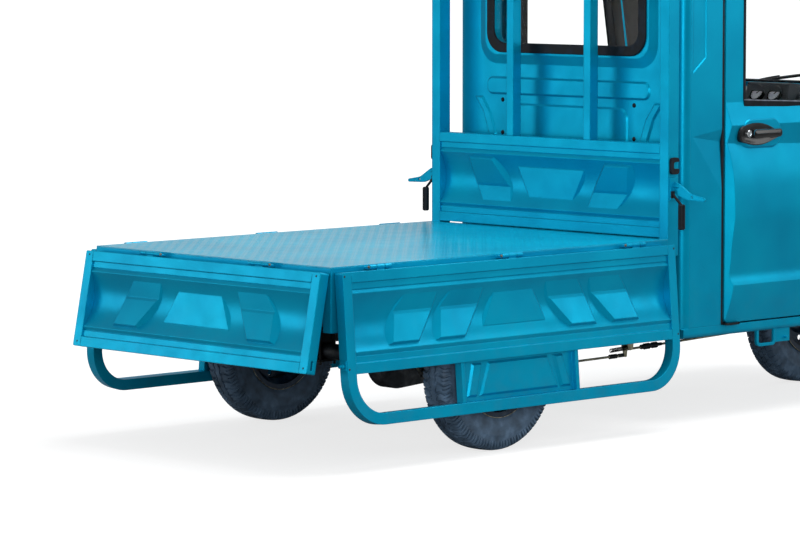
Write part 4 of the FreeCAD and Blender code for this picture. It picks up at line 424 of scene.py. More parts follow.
# Dial card: printed white, a little yellowed.
DIAL_CARD = worn("printed_dial_card", "#D6D8E4", "#E9EAF2", "#F2F3F6", 0, 0.4, 0.001, 0.00002, 0.02, 0)
VINYL = seat_vinyl()
TYRE = tyre_rubber()
GLASS = window_glass()
LENS = lamp_lens("fluted_clear_lamp_lens", "#C9D2D8", "#F1F5F6", 0.35)
RED_LENS = lamp_lens("fluted_red_lamp_lens", "#6E0508", "#A80F12", 0.1)
AMBER_LENS = lamp_lens("fluted_amber_lamp_lens", "#B45A06", "#E08A1A", 0.1)

# The finish of each CAD node; a node that isn't named here has the body's enamel.
NODE_FINISHES = (
    (DECK_PAINT_PAINTED_LIGHTER, "deck_plate"),
    (CHASSIS, "spring_hangers cab_underframe steering_head chassis_rails chassis_crossbars front_fork leaf_springs "
              "seat_base handlebar"),
    (CAST, "rear_axle axle_motor"),
    (ZINC, "brake_linkage"),
    (RIM, "rear_rim_left rear_rim_right front_rim"),
    (SEAL, "rear_window_rubber door_seals gate_latches"),
    (BLACK_PLASTIC, "wheel_arch battery_pack mirrors front_bumper"),
    (GREY_PLASTIC, "dashboard"),
    (GLASS, "windscreen_glass rear_window_glass door_glass_left door_glass_right"),
    (VINYL, "seat_cushion seat_back"),
    (TYRE, "rear_tyre_left rear_tyre_right front_tyre"),
    (LENS, "headlamps"),
    (RED_LENS, "tail_lamps"),
)
finish_of = {name: finish for finish, names in NODE_FINISHES for name in names.split()}
for name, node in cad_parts.items():
    dress(node, finish_of.get(name, BODY_PAINT))


# ---- Camera and studio

# The lens in pixels of the 800 pixel wide photograph, and how many degrees it looks down and left.
FOCAL_PIXELS, CAMERA_DOWN, CAMERA_LEFT = 3782, 5.062, 46.09
# Share of white that the eye sees in the floor nearer than FLOOR_NEAR, all of it at FLOOR_FAR; light on the truck.
FLOOR_GLOW, FLOOR_NEAR, FLOOR_FAR, WORLD_LIGHT = 0.76, 2.4, 5, 0.47
# Square lamps: place, point that they face, side in metres and power in watts.
LAMPS = (("overhead_softbox", (0.9, -0.6, 5.2), (0, 0, 0.5), 4.5, 330),
         ("camera_side_softbox", (-6.2, -6, 2), (0, 0, 0.6), 3, 190),
         ("rear_left_softbox", (-6.5, 5.4, 1.6), (-0.6, 0, 0.9), 3, 70),
         ("front_right_softbox", (5.6, -6, 2.8), (0.2, 0, 0.7), 3, 60),
         ("front_left_lamp", (7.5, 3, 3), (0, 0, 0.2), 0.6, 60))


def photo_camera():
    """Camera of the photograph, low behind the rear right corner."""
    lens = bpy.data.cameras.new("photo_camera")
    lens.sensor_width = 36
    lens.lens = FOCAL_PIXELS / 800 * 36
    lens.clip_end = 300
    holder = bpy.data.objects.new("photo_camera", lens)
    holder.location = (DECK_REAR - 8.699, -10, 1.84)
    holder.rotation_euler = (math.radians(90 - CAMERA_DOWN), 0, math.radians(CAMERA_LEFT - 90))
    scene.collection.objects.link(holder)
    scene.camera = holder


def seen_rays(tree):
    """1 for what the camera sees, through glass too, and 0 for what lights the truck."""
    ray = put(tree, "LightPath")
    return put(tree, "Math", {0: ray.outputs["Is Camera Ray"], 1: ray.outputs["Is Transmission Ray"]},
               operation="MAXIMUM").outputs[0]


def studio_floor():
    """Paper floor that is white to the eye far from the truck."""
    side = np.concatenate([-np.geomspace(120, 1, 8), np.geomspace(1, 120, 8)])
    x, y = np.meshgrid(side, side, indexing="ij")
    floor = surfaces("studio_floor", [(np.stack([x, y, np.zeros_like(x)], -1), False, False, False)])
    made, tree, shader, where = material("matt_white_floor", Specular_IOR_Level=0, Roughness=0.9)
    paper = ramp(tree, noise(tree, where, 0.8, 2), [(0.3, "#979797"), (0.7, "#9B9B9B")])
    tree.links.new(paper, shader.inputs["Base Color"])
    shader.inputs["Emission Color"].default_value = (1, 1, 1, 1)
    reach = put(tree, "VectorMath", {0: where}, operation="LENGTH").outputs["Value"]
    glow = put(tree, "MapRange", {"Value": reach, "From Min": FLOOR_NEAR, "From Max": FLOOR_FAR,
                                            "To Min": FLOOR_GLOW, "To Max": 1}).outputs[0]
    tree.links.new(times(tree, seen_rays(tree), glow), shader.inputs["Emission Strength"])
    dress(floor, made)


def surroundings():
    """World that is white to the eye and dimmer to the truck."""
    world = bpy.data.worlds.new("studio_surroundings")
    world.use_nodes = True
    scene.world = world
    tree = world.node_tree
    tree.nodes.clear()
    lit = put(tree, "Background", {"Color": (0.97, 0.99, 1, 1), "Strength": WORLD_LIGHT})
    white = put(tree, "Background", {"Color": (1, 1, 1, 1), "Strength": 1})
    both = put(tree, "MixShader", {0: seen_rays(tree), 1: lit.outputs[0], 2: white.outputs[0]})
    put(tree, "OutputWorld", {"Surface": both.outputs[0]})


photo_camera()
studio_floor()
surroundings()
for name, place, aim, size, power in LAMPS:
    lamp = bpy.data.lights.new(name, "AREA")
    lamp.size = size
    lamp.energy = power
    holder = bpy.data.objects.new(name, lamp)
    holder.location = place
    holder.rotation_euler = (Vector(aim) - Vector(place)).to_track_quat("-Z", "Y").to_euler()
    scene.collection.objects.link(holder)


# ---- Load deck and gates

def checker_pattern():
    """Lozenges of the checker plate, 67 rows of 48, 25 mm apart, turned left and right in turn: at (u, v) 12 u along,
    3.2 v (1 - u^2)^0.7 across and 0.9 (1 - u^2)^0.5 (1 - v^2) - 0.1 up."""
    u, v = np.meshgrid(np.linspace(-1, 1, 7), np.linspace(-1, 1, 3), indexing="ij")
    bow = np.maximum(1 - u**2, 0)
    along, across, up = 12 * u, 3.2 * v * bow**0.7, 0.9 * np.sqrt(bow) * (1 - v**2) - 0.1
    i, j = np.meshgrid(np.arange(67), np.arange(48), indexing="ij")
    turn = np.where((i + j) % 2 == 0, np.pi / 4, -np.pi / 4).reshape(-1, 1, 1)
    x = (27 + 25 * i).reshape(-1, 1, 1) + along * np.cos(turn) - across * np.sin(turn)
    y = (-587.5 + 25 * j).reshape(-1, 1, 1) + along * np.sin(turn) + across * np.cos(turn)
    lozenges = placed(x, y, DECK_TOP + up), False, False, True
    fit("deck_checker_lozenges", [lozenges], DECK_PAINT_PAINTED_LIGHTER, smooth=60)


checker_pattern()

PIN_HEAD = [(0, 3.4), (2.6, 3.1), (4.6, 1.8), (5.2, 0), (5.2, -2), (0, -2)]
GATE_SCREW = [(0, 0.9), (3.2, 0.7), (4.4, -0.4), (0, -0.4)]
CATCH_STUD = [(0, 16), (5.5, 15.4), (8, 13), (8, 9), (5, 8), (5, 3), (9, 2.4), (9, -4), (0, -4)]
# Each gate: half its width, its hinges' middles, and how far from its middle the weld beads lie.
SIDE_GATE = (SIDE_HALF, (-646, 0, 646), 800)
GATES = {"right_gate": SIDE_GATE, "left_gate": SIDE_GATE, "tailgate": (TAIL_HALF, (-290, 290), 585)}


def hinge_pins(gate, hinges):
    """Pin heads turned about a gate's hinge axis, 52 mm to each side of a hinge's middle."""
    pins = []
    for s, side in ((hinge + side * 52, side) for hinge in hinges for side in (-1, 1)):
        if gate == "tailgate":
            centre, axis = (-HINGE_BACK, -s, HINGE_Z), (0, -side, 0)
        else:
            centre, axis = (SIDE_HALF + s, -HINGE_SIDE if gate == "right_gate" else HINGE_SIDE, HINGE_Z), (side, 0, 0)
        pins.append(turned(PIN_HEAD, centre, axis, 12))
    return pins


def gate_screws(gate, half):
    """Screw heads turned about the way a gate faces, 20 mm in from its ends."""
    centres = np.array([on_gate(gate, s, t, 0) for s in (20 - half, half - 20) for t in (14, 330)])
    outward = on_gate(gate, 0, 0, -10) - on_gate(gate, 0, 0, 0)
    return turned(GATE_SCREW, millimetres(centres), outward, 10)


def gate_beads(gate, reach):
    """Weld beads where a gate's bars meet: 26 mm long, radius 2 + 0.5 sin 50 t for t from 0 to 1."""
    t = np.linspace(0, 1, 25)
    beads = []
    for side in (-1, 1):
        for down, shift in ((36, -10), (312, 10)):
            line = on_gate(gate, side * reach, down + (t - 0.5) * 26 + shift, 1.2)
            beads.append(carried(millimetres(line), 2 + 0.5 * np.sin(t * 50), 6))
    return beads


pins = []
for gate, (half, hinges, _) in GATES.items():
    pins += hinge_pins(gate, hinges)
    fit(gate + "_screws", [gate_screws(gate, half)], CHASSIS, gate)
fit("hinge_pin_heads", pins, RUST)
for gate in ("right_gate", "left_gate"):
    stud = turned(CATCH_STUD, millimetres(on_gate(gate, -838, 318, 16)), (-1, 0, 0), 18)
    fit(gate + "_catch_stud", [stud], BODY_PAINT, gate)
for gate, (_, _, reach) in GATES.items():
    fit(gate + "_weld_beads", gate_beads(gate, reach), BODY_PAINT, gate)


# ---- Tyres

# Half section (y, r) of a tyre from crown to bead, and the distance run along it.
SECTION = smooth_line([(0, 285), (20, 284.7), (38, 283.4), (49, 280), (56, 272.5), (60.5, 261), (63.5, 245),
                       (64.6, 228), (63.6, 210), (60.5, 193), (56, 178), (52.3, 168), (51.3, 160), (50.5, 153.2),
                       (44, 152.4), (20, 152.4)], 12)
RUN = np.concatenate([[0], np.cumsum(np.linalg.norm(np.diff(SECTION, axis=0), axis=1))])
# Lines round a tyre: distance from the crown, groove all round, groove across, cut across, shift round the tyre and
# swing of the zigzag. What is left out at a line's end is 0.
REAR_TREAD = [(0,), (5, 0, 0, 0, 3, 1), (10.5, 0, 0, 0, 8, 3.5), (11.3, 7, 7, 7, 8, 3.5), (15.2, 7, 7, 7, 8, 3.5),
              (16.2, 0, 7, 0, 8, 3.5), (22, 0, 7, 0, 10, 1.5), (28, 0, 7, 0, 12.5), (34, 0, 8, 0, 12.5),
              (40, 0, 9, 0, 10), (45, 0, 9.5, 0, 7.5), (46.2, 0, 9.5, 5.5, 7), (52, 0, 9.5, 6, 6), (59, 0, 9, 6, 6.5),
              (66, 0, 8, 5.8, 8.5), (73, 0, 7, 5.4, 10.5), (79, 0.6, 6, 5, 11.5), (84, 2.4, 5, 4.6, 12)]
FRONT_TREAD = [(0, 0, 6), (4, 0, 6, 0, 1), (8, 0, 6, 0, 3), (9.2, 6, 6, 6, 5), (13, 6, 6, 6, 13), (14.2, 0, 6, 0, 15),
               (22, 0, 6, 0, 16), (30.5, 0, 6, 0, 18), (31.7, 6, 6, 6, 20), (35.5, 6, 6, 6, 28), (36.7, 0, 6, 0, 30),
               (44, 0, 6, 0, 31.5), (52, 0, 5.5, 0, 33), (58, 0.3, 5, 0, 34), (63, 1.4, 4.6, 0, 34),
               (68, 3.6, 4.4, 0, 34), (78, 4.2, 0, 0, 34)]
SIDEWALL = [(88, 4.2), (92, 4.4), (100, 3.8), (104, 2.6), (106, 2.6), (110, 3.8), (122, 3.4), (134, 2.6), (146, 1.6),
            (154, 0.4), (157, 0.2), (160, 1.2), (166, 0.6), (174,), (182,), (200,)]
# One pitch of the tread: place in it, share of the groove across, share of the cut across, zigzag.
REAR_BEAT = [(0, 0, 0, -0.8), (0.04, 1, 0, -1), (0.26, 1, 0, -0.3), (0.31, 0, 0, 0), (0.4, 0, 0, 0.5),
             (0.54, 0, 0, 1), (0.575, 0, 1, 0.8), (0.68, 0, 1, 0.4), (0.715, 0, 0, 0.2), (0.85, 0, 0, -0.3)]
FRONT_BEAT = [(0, 0, 0, 0), (0.05, 1, 0, 0), (0.2, 1, 0, 0), (0.25, 0, 0, 0), (0.44, 0, 0, 0), (0.62, 0, 0, 0),
              (0.81, 0, 0, 0)]


def tyre(name, x, y, tread, pitches, beat, node, body):
    """Tyre as one grid of distances s along its section and p round it.

    A point lies on the section at s + swing * zigzag(p), is sunk along its normal by the deepest of the groove all
    round and the two across times their shares at p, and is turned about the axle by (p + shift) / 285.
    """
    rows = np.array([row + (0,) * (6 - len(row)) for row in tread + SIDEWALL], float)
    rows = np.concatenate([rows[:0:-1] * [-1, 1, 1, 1, -1, -1], rows])
    share, groove, cut, zigzag = np.array(beat, float).T
    pitch = 2 * np.pi * TYRE_RADIUS / pitches
    p = ((np.arange(pitches)[:, None] + share) * pitch).ravel()
    groove, cut, zigzag = (np.tile(v, pitches) for v in (groove, cut, zigzag))
    s = rows[:, 0, None] + rows[:, 5, None] * zigzag
    depth = np.maximum.reduce([np.broadcast_to(rows[:, 1, None], s.shape), rows[:, 2, None] * groove,
                               rows[:, 3, None] * cut])
    reach = np.abs(s)
    across, r = (np.interp(reach, RUN, v) for v in SECTION.T)
    ahead = [np.interp(reach + 1.5, RUN, v) - np.interp(np.maximum(reach - 1.5, 0), RUN, v) for v in SECTION.T]
    size = np.hypot(*ahead)
    across = (across + depth * ahead[1] / size) * np.sign(s)
    r = r - depth * ahead[0] / size
    a = (p + rows[:, 4, None]) / TYRE_RADIUS
    wheel = placed(x + r * np.cos(a), y + across, AXLE_Z + r * np.sin(a))
    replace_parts(fit(name, [(wheel, True, True)], TYRE, body, 34), node)


for word, side in SIDES:
    tyre("rear_tyre_with_tread_" + word, REAR_AXLE_X, side * REAR_WHEEL_Y, REAR_TREAD, 56, REAR_BEAT,
         "rear_tyre_" + word, "rear_wheel_" + word)
tyre("front_tyre_with_blocks", FRONT_AXLE_X, 0, FRONT_TREAD, 60, FRONT_BEAT, "front_tyre", "front_wheel")


# ---- Wheel hardware and brakes

NUT = [(0, 12), (5, 12), (6, 11), (6, 9.5), (8.6, 9.5), (9.8, 8.4), (9.8, 0.6), (12, 0.2), (12.4, -1), (0, -1)]
HUB_CAP = [(0, 12), (10, 11.4), (19, 9), (25, 5), (27.5, 0), (27.5, -2), (0, -2)]


def wheel_pieces(word, x, y, side, dish, body, cap):
    """Five nuts, a hub cap, the valve stem and the rim's rubbed edges, sections (165.4 + 1.9 cos t, 57.2 + 1.7 sin t)
    turned about the axle."""
    a = 0.3 + circle(5)
    nuts = np.stack([x + 54 * np.cos(a), np.full(5, y + side * (dish + 20)), AXLE_Z + 54 * np.sin(a)], -1)
    parts = [turned(NUT, nuts, (0, side, 0), 6)]
    if cap:
        parts.append(turned(HUB_CAP, (x, y + side * (dish + 30), AXLE_Z), (0, side, 0), 28))
    fit(word + "_wheel_nuts", parts, ZINC, body)
    t = circle(10)
    sections = [np.stack([165.4 + 1.9 * np.cos(t), out * 57.2 + 1.7 * np.sin(t)], -1) for out in (-1, 1)]
    edges = [(turned(section, (x, y, AXLE_Z), (0, 1, 0), 96)[0], True, True) for section in sections]
    fit(word + "_rim_edges", edges, RIM_EDGE, body)
    stem = smooth_line([(x + 118, y + side * 26, AXLE_Z + 50), (x + 120, y + side * 40, AXLE_Z + 51),
                        (x + 116, y + side * 56, AXLE_Z + 49)], 6)
    stem = carried(stem, np.linspace(4.6, 3.4, len(stem)), 10)
    fit(word + "_valve_stem", [stem], SEAL, body)


for word, side in SIDES:
    wheel_pieces("rear_" + word, REAR_AXLE_X, side * REAR_WHEEL_Y, side, 12, "rear_wheel_" + word, True)
wheel_pieces("front", FRONT_AXLE_X, 0, 1, 0, "front_wheel", False)


def brake_parts():
    """Ribbed boot and two lock nuts on the brake rod, and the return spring beside it, a helix
    start + t (end - start) + 7 (p cos a + q sin a) of 13 turns a in 14 steps each."""
    boot = [(0, 4.6), (4, 9.5), (16, 9), (22, 12.5), (28, 9), (34, 12.5), (40, 9), (46, 12.5), (52, 9), (62, 9.5),
            (66, 12), (90, 12), (94, 7), (118, 6.5), (122, 4.6)]
    rod = [(1972 + a, -245, 251.5 + a * 0.034) for a, _ in boot]
    adjusters = [carried(rod, [r for _, r in boot], 14)]
    for xs, zs, r in (((1796, 1800, 1836, 1840), (227, 227, 227.5, 227.5), 10),
                      ((1846, 1850, 1872, 1876), (228, 228, 228, 228), 8.5)):
        adjusters.append(carried([(x, -245, z) for x, z in zip(xs, zs)], [5, r, r, 5], 6))
    fit("brake_adjusters", adjusters, CHASSIS)
    start, end = np.array([1790, -257, 252]), np.array([1878, -257, 256])
    t = np.linspace(0, 1, 14 * 13)[:, None]
    _, p, q = square_to(end - start)
    a = 2 * np.pi * 13 * t
    spring = start + t * (end - start) + 7 * (np.cos(a) * p + np.sin(a) * q)
    fit("brake_return_spring", [carried(spring, 1.6, 6)], CHASSIS)


brake_parts()


# ---- Cab outside

def stadium(x0, x1, z0, z1, radius):
    """Outline of a rounded rectangle as a function of its inset."""
    def line(inset):
        r = max(radius - inset, 0.05)
        i = min(inset, min(x1 - x0, z1 - z0) / 2 - 0.05)
        return rounded([(x0 + i, z0 + i), (x1 - i, z0 + i), (x1 - i, z1 - i), (x0 + i, z1 - i)], r, 10)
    return line


def door_handle(word, side):
    """Handle of one door: a low pad, an eye-shaped cover, its lever and a lock. At an inset the eye's line is scaled
    by 1 - inset / 112 along and 1 - inset / 50 upwards."""
    def out(a, b, height):
        return placed(a, side * (614 + height), b)

    body, middle = "door_" + word, [2226, 1076]
    mound = [(-18, -20), (-6, -10), (-0.5, -1), (2, 1), (20, 1.2), (51.3, 1.2)]
    low = domed(stadium(2134.6, 2355.4, 1026.6, 1129.4, 47.4), mound, out)
    fit("door_handle_pad_" + word, [low], BODY_PAINT, body, 30)
    eye = rounded([(2112, 1050), (2225, 1024), (2345, 1062), (2345, 1082), (2225, 1128), (2112, 1102)],
                  [24, 230, 11, 11, 230, 24], 10) - middle
    levels = [(0, -16), (0, 1.5), (1.5, 4.2), (5, 5.6), (9, 5.2), (14, 3.4), (22, 2.2), (36, 1.8), (49.9, 1.8)]
    lift = [(0, -2), (0, 8), (1, 11.2), (3, 12.9), (7, 13.8), (16.1, 14.4)]
    parts = [domed(lambda inset: middle + eye * [1 - inset / 112, 1 - inset / 50], levels, out),
             domed(stadium(2184.8, 2351.2, 1060.8, 1093.2, 13.2), lift, out)]
    fit("door_handle_cover_" + word, parts, GLOSS_BLACK, body, 30)
    lock = [(0, 7.8), (4, 7.8), (4.4, 6.4), (7.8, 6.4), (8.4, 9), (11.6, 9), (13.6, 7.2), (14.5, 0), (0, 0)]
    lock = turned(lock, (2165, side * 614.6, 1078), (0, side, 0), 28)
    fit("door_lock_" + word, [lock], CHROME, body)


def door_rubbers(word, side):
    """Rubber round one door's window, the sill's scraper, a grey lip on it that is a painted highlight, and the strip
    at the lower corner.
    """
    body = "door_" + word
    lip = [(-8, 0), (-8, 2.6), (-6, 4.2), (3, 4.2), (5, 2.6), (5, -32), (2, -32), (2, 0)]
    band = [(-13, -4), (-13, 2), (-11, 4), (9, 4), (12, 2.4), (13, 0.6), (13, -16), (10, -16), (10, -4)]
    lip, band = ([(-side * a, b) for a, b in section] for section in (lip, band))
    loop = rounded([(2161, 1190), (2727, 1172), (2648, 1637), (2161, 1637)], [22, 26, 38, 38], 8)
    sill = np.linspace([2159, side * 596, 1193.5], [2726, side * 596, 1167.5], 30)
    rubbers = [moulding(np.insert(loop, 1, side * 594, 1), lip, (0, side, 0)),
               moulding(sill, band, (0, side, 0), False)]
    fit("window_rubber_" + word, rubbers, SEAL, body)
    # Grey crest along the sill rubber: a painted highlight.
    crest = carried(sill + [0, side * 2.6, 12], 2.4, 8)
    fit("window_scraper_lip_highlight_" + word, [crest], SCRAPER_LIP_HIGHLIGHT, body)
    corner = np.insert([(2048, 362), (2060, 359.6), (2120, 359.6), (2128, 362.6)], 1, side * 601, 1)
    corner = moulding(smooth_line(corner), [(-3.5, -4), (-3.5, 9), (3.5, 9), (3.5, -4)], (0, side, 0), False)
    fit("door_corner_strip_" + word, [corner], SEAL, body)


def door_inside(word, side):
    """Lining of one door, a sheet inner (1 - v) + outer v that stands up to 6.5 mm off its back; the window's reveal,
    between its line and 0.994 times that; and the pull."""
    body = "door_" + word
    inner = rounded([(2166, 1195), (2722, 1177), (2700, 1300), (2644, 1632), (2166, 1632)], [30, 30, 200, 30, 30], 8)
    outer = rounded([(2072, 384), (2784, 384), (2784, 1140), (2700, 1668), (2072, 1668)], [30, 50, 40, 50, 34], 8)
    v = np.array([0, 0.03, 0.12, 0.5, 0.93, 1])[None, :, None]
    relief = np.array([0, -4, -5, -6.5, -5, 0])
    sheet = inner[:, None] * (1 - v) + outer[:, None] * v
    front = placed(sheet[..., 0], side * (556.5 + relief), sheet[..., 1])
    back = placed(sheet[..., 0], side * 556.5, sheet[..., 1])[:, ::-1]
    lining = np.concatenate([front, back], 1), True, True
    fit("door_lining_" + word, [lining], TRIM, body, 30)
    edges = [placed(inner[:, 0], side * y, inner[:, 1]) for y in (552, 590)]
    within = [(edge - edge.mean(0)) * 0.994 + edge.mean(0) for edge in edges[::-1]]
    fit("window_reveal_" + word, [(np.stack(edges + within), True, True)], SEAL, body)
    pull = smooth_line([(2300, side * 550, 1060), (2312, side * 530, 1060), (2420, side * 526, 1062),
                        (2528, side * 530, 1060), (2540, side * 550, 1060)], 6)
    fit("door_pull_" + word, [carried(pull, 9, 10)], GLOSS_BLACK, body)


for word, side in SIDES:
    door_handle(word, side)
    door_rubbers(word, side)
    door_inside(word, side)

PLUG = [(0, 4.4), (4, 4), (7.5, 2.2), (9, 0), (9, -2), (0, -2)]
plugs = [(CAB_REAR, side * 347, z) for side in (-1, 1) for z in (1187, 1060)]
fit("rear_wall_plugs", [turned(PLUG, plugs, (-1, 0, 0), 20)], SEAL)

SCREEN_NORMAL = np.array([595, 0, 300]) / math.hypot(595, 300)


def screen_x(z):
    """The windscreen's x at a height: 300 back for each 595 above its foot."""
    return 3390 - (z - 1150) * 300 / 595


def on_screen(y, z, lift):
    """Points in millimetres on the windscreen's plane, lifted along its normal."""
    x, y, z = np.broadcast_arrays(screen_x(np.asarray(z, float)), y, z)
    return np.stack([x, y, z], -1) + SCREEN_NORMAL * np.asarray(lift, float)[..., None]


def screen_parts():
    """Rubber round the windscreen, and the wiper's arm, blade and pivot."""
    loop = rounded([(-508, 1217), (508, 1217), (508, 1653), (-508, 1653)], 68, 12)
    lip = [(-10, -8), (-10, 1.5), (-7, 4), (7, 4), (10, 1.5), (10, -8)]
    rubber = moulding(on_screen(*loop.T, 0), lip, SCREEN_NORMAL)
    fit("windscreen_rubber", [rubber], SEAL)
    arm = smooth_line(on_screen([452, 441, 400, 327, 250], [1196, 1202, 1209, 1223, 1236], [6, 12, 15, 16, 14]))
    blade = smooth_line(on_screen([345, 327, 235, 121, 40], [1217, 1219, 1231, 1245, 1255], [8, 9, 9, 9, 8]))
    pivot = [(0, 14), (8, 13), (12, 8), (13, -6), (0, -6)]
    wiper = [carried(arm, np.linspace(6, 3.5, len(arm)), 8), carried(blade, 7, 6),
             turned(pivot, on_screen(452, 1196, 0), SCREEN_NORMAL, 20)]
    fit("windscreen_wiper", wiper, BLACK_PLASTIC)


def nose_parts():
    """Grille, headlamp bezels and indicators. The grille stands 3.2 + 5.5 clip(1.6 |sin 5 pi h| - 0.5) off the front
    at a share h of its height, and 9 on its border; a bezel's ring of radius r stands out(r) off it."""
    y, z = np.meshgrid(np.linspace(-230, 230, 61), np.linspace(856, 966, 45), indexing="ij")
    border = np.minimum(np.minimum(230 - np.abs(y), 30) / 30, np.minimum(55 - np.abs(z - 911), 10) / 10)
    slats = 3.2 + 5.5 * np.clip(1.6 * np.abs(np.sin((z - 856) / 110 * 5 * np.pi)) - 0.5, 0, 1)
    lift = np.where(border > 0.35, slats, 9) * np.clip(border * 4, 0, 1) - 0.5
    grille = placed(front_x(y, z) + lift, y, z)
    fit("nose_grille", [(grille, False, False, False)], BLACK_PLASTIC, smooth=50)
    a = circle(48)[:, None]
    r = np.array([79, 79.5, 82, 87, 92, 94, 94])
    out = np.array([-14, 5.5, 7.5, 7, 4.5, 1, -2])
    dome = [(0, 13), (12, 11.5), (20, 7), (24, 0), (24, -4), (0, -4)]
    bezels, domes = [], []
    for side in (-1, 1):
        y, z = side * 330 + r * np.cos(a), 730 + r * np.sin(a)
        bezels.append((placed(front_x(y, z) + out, y, z), True, True))
        domes.append(turned(dome, (front_x(side * 330, 590), side * 330, 590), (1, 0, 0), 28))
    fit("headlamp_bezels", bezels, CHROME, smooth=50)
    fit("nose_indicators", domes, AMBER_LENS)


def mirror_parts():
    """Silvered glass on the mirror heads: rounded rectangles that rise inwards."""
    levels = [(0, -0.5), (0, 1.6), (2, 2.4), (14, 3.2), (30, 3.6), (38.9, 3.7)]
    grids = []
    for _, side in SIDES:
        line = stadium(side * 665 - 39, side * 665 + 39, 1238, 1392, 14)
        grids.append(domed(line, levels, lambda a, b, height: placed(2990 - height, a, b)))
    fit("mirror_glass", grids, SILVERED, smooth=30)


screen_parts()
nose_parts()
places = [((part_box("tail_lamps")[0].x - DECK_REAR) * 1000, side * y, 605) for side in (-1, 1) for y in (410, 490)]
screws = turned([(0, 0.9), (2.4, 0.8), (3.4, -0.6), (0, -0.6)], places, (-1, 0, 0), 12)
fit("tail_lamp_screws", [screws], CHROME)
mirror_parts()


# ---- Cab inside

def cab_linings():
    """Bands on the windscreen pillars, and the headliner, 3 mm of felt under
    z = 1699 + 30 (1 - ((x - 2480) / 640)^2) - 8 (|y| / 556)^6."""
    z = np.linspace(1178, 1672, 24)
    x = screen_x(z)
    grids = []
    for _, side in SIDES:
        a = placed(x - 37, side * 511, z)
        b = placed(x - 40, side * 561, z)
        c = placed(2792 - (z - 1150) * 0.172, side * 563.5, z)
        grids += [strip(a, b, 0.003), strip(b, c, 0.003)]
    fit("pillar_linings", grids, TRIM)
    x, y = np.meshgrid(np.linspace(1852, 3010, 40), np.linspace(-556, 556, 25), indexing="ij")
    z = 1699 + 30 * (1 - ((x - 2480) / 640) ** 2) - 8 * (np.abs(y) / 556) ** 6
    shell = np.concatenate([placed(x, y, z), placed(x, y, z - 3)[:, ::-1]], 1)
    fit("roof_headliner", [(shell, False, True)], HEADLINER, smooth=60)


def dials():
    """Two dials with bezels, needles, and ticks 1.6 mm wide from radius 20 to 25.5 at each angle a."""
    faces, rings, marks = [], [], []
    a = np.linspace(-0.7, np.pi + 0.7, 13)[:, None, None]
    u, w = np.array([[20], [25.5]]), np.array([-0.8, 0.8])
    rise = u * np.sin(a) + w * np.cos(a)
    for y in (-46, 46):
        centre, up = (2979, y, 1186), (-0.8, 0, 0.6)
        faces.append(turned([(0, 0.8), (27, 0.8), (28, -1), (0, -1)], centre, up, 36))
        ring = turned([(27, 0.4), (28, 3.4), (31, 3.8), (33, 1.5), (33, -12), (27, -12)], centre, up, 40)
        rings.append((ring[0], True, True))
        ticks = placed(2979 - 1.1 + 0.6 * rise, y + u * np.cos(a) - w * np.sin(a), 1186 + 0.8 + 0.8 * rise)
        marks.append((ticks, False, False, True))
        needle = [(2977.2, y, 1187.4), (2983, y - 8, 1195.2), (2988, y - 16, 1201.6)]
        marks.append(carried(needle, [2.4, 1.4, 0.6], 6))
    fit("dial_faces", faces, DIAL_CARD)
    fit("dial_bezels", rings, GLOSS_BLACK)
    fit("dial_ticks_and_needles", marks, SEAL)


def bar_parts():
    """Rubber grips whose radius at ring k is 15.5 + sin 1.6 k, and brake levers with their clamps."""
    grips, levers = [], []
    for side in (-1, 1):
        end, bend = np.array([2722.9, side * 330, 1080]), np.array([2822.9, side * 210, 1120])
        line = end + (bend - end) * np.linspace(-0.01, 0.66, 60)[:, None]
        grips.append(carried(line, 15.5 + np.sin(np.arange(60) * 1.6), 14))
        lever = smooth_line([bend + [18, side * 6, -6], bend + [44, side * 20, -10], end + [62, -side * 26, -12],
                             end + [40, -side * 2, -16]], 8)
        levers.append(carried(lever, np.linspace(6, 4, len(lever)), 8))
        clamp = bend + [(-12, side * 2, 0), (-6, side * 2, 0), (10, side * 8, -3), (16, side * 8, -3)]
        levers.append(carried(clamp, [6, 17, 17, 6], 12))
    fit("handlebar_grips", grips, SEAL, "steering")
    fit("brake_levers", levers, CAST, "steering")


cab_linings()
dials()
bar_parts()


# ---- Seats

# In millimetres: the channels across the bench, a pad's start inside its box and a channel's width.
CHANNELS, PAD_INSET, CHANNEL_WIDTH = (-300, -100, 100, 300), 7, 6
# In metres: a channel's depth, a pad's clearance in its box, the mesh's step and the cloth's furthest move.
CHANNEL_DEPTH, PAD_CLEARANCE, MESH_STEP, MOST_MOVE = 0.007, 0.0005, 0.009, 0.010
FILLING_PRESSURE, FILLING_FRAMES = 4, 20


def corners_of(mesh):
    """A mesh's vertices as rows of places."""
    places = np.empty(len(mesh.vertices) * 3, np.float32)
    mesh.vertices.foreach_get("co", places)
    return places.reshape(-1, 3)


def bulge(w, power):
    """A value's sign times its size to a power."""
    return np.sign(w) * np.abs(w) ** power


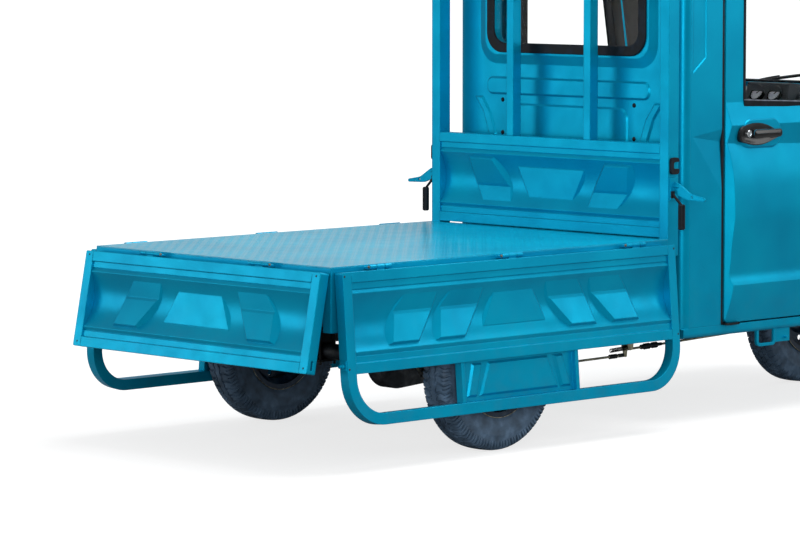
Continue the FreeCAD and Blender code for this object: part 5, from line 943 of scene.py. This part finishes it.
def blow_up(piece):
    """Even mesh, blown up by Cloth with each point's move cut to the most, and one subdivision."""
    bpy.context.view_layer.objects.active = piece
    remesh = piece.modifiers.new("even_mesh", "REMESH")
    remesh.mode, remesh.voxel_size = "VOXEL", MESH_STEP
    bpy.ops.object.modifier_apply(modifier=remesh.name)
    start = corners_of(piece.data)
    cloth = piece.modifiers.new("filling", "CLOTH")
    cloth.settings.use_pressure = True
    cloth.settings.uniform_pressure_force = FILLING_PRESSURE
    cloth.settings.effector_weights.gravity = 0
    cloth.point_cache.frame_start, cloth.point_cache.frame_end = 1, FILLING_FRAMES
    for step in range(1, FILLING_FRAMES + 1):
        scene.frame_set(step)
    blown = piece.evaluated_get(bpy.context.evaluated_depsgraph_get()).to_mesh()
    move = corners_of(blown) - start
    piece.modifiers.remove(cloth)
    scene.frame_set(1)
    length = np.linalg.norm(move, axis=1)[:, None]
    move *= np.minimum(1, MOST_MOVE / np.maximum(length, 1e-9))
    piece.data.vertices.foreach_set("co", (start + move).ravel())
    piece.data.update()
    finer = piece.modifiers.new("finer", "SUBSURF")
    finer.levels = finer.render_levels = 1
    bpy.ops.object.modifier_apply(modifier=finer.name)


def pad(name, low, high, top, replaced):
    """Stitched bench pad: a closed pillow, blown up by Cloth, then sewn channels.

    With b the bulge, the start is half the box less 7 mm times (b(cos v, 0.5) b(cos u, 0.16), b(cos v, 0.5)
    b(sin u, 0.16), b(sin v, 0.6)), the last along the axis top. Then a point d mm across from a channel sinks by
    7 exp(-(d / 6)^2) mm times its share of the way to the sat-on face.
    """
    low, high = np.array(low, float), np.array(high, float)
    centre, half = (low + high) / 2, (high - low) / 2 - PAD_INSET
    u, v = np.meshgrid(np.linspace(-np.pi, np.pi, 96, endpoint=False), np.linspace(-np.pi / 2, np.pi / 2, 41),
                       indexing="ij")
    x = bulge(np.cos(v), 0.5) * bulge(np.cos(u), 0.16)
    y = bulge(np.cos(v), 0.5) * bulge(np.sin(u), 0.16)
    z = bulge(np.sin(v), 0.6)
    order = (x, y, z) if top == 2 else (z, y, x)
    grid = placed(*(c + h * w for c, h, w in zip(centre, half, order)))
    piece = fit(name, [(grid, True, False)], VINYL)
    blow_up(piece)
    co = corners_of(piece.data)
    mm = millimetres(co)
    near = np.abs(mm[:, 1, None] - np.array(CHANNELS)).min(1)
    share = np.clip((mm[:, top] - centre[top]) / half[top], 0, 1)
    co[:, top] -= CHANNEL_DEPTH * np.exp(-(near / CHANNEL_WIDTH) ** 2) * share
    co = np.clip(co, placed(*low) + PAD_CLEARANCE, placed(*high) - PAD_CLEARANCE)
    piece.data.vertices.foreach_set("co", co.astype(np.float32).ravel())
    piece.data.shade_smooth()
    piece.data.update()
    dress(piece, VINYL)
    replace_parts(piece, replaced)


pad("bench_cushion", (1900, -480, 640.3), (2380, 480, 740), 2, "seat_cushion")
pad("bench_backrest", (1844.3, -480, 770), (1939.3, 480, 1200), 0, "seat_back")
# Piping of 3.2 mm radius round the sat-on faces of cushion and backrest.
piping = [(3.2 * math.cos(a), 3.2 * math.sin(a)) for a in circle(8)]
seam = np.insert(rounded([(1910, -468), (2368, -468), (2368, 468), (1910, 468)], 40, 8), 2, 716, 1)
back_seam = np.insert(rounded([(-468, 782), (468, 782), (468, 1188), (-468, 1188)], 40, 8), 0, 1914, 1)
fit("seat_piping", [moulding(seam, piping, (0, 0, 1)), moulding(back_seam, piping, (1, 0, 0))], VINYL)

scene.view_settings.view_transform = "Standard"
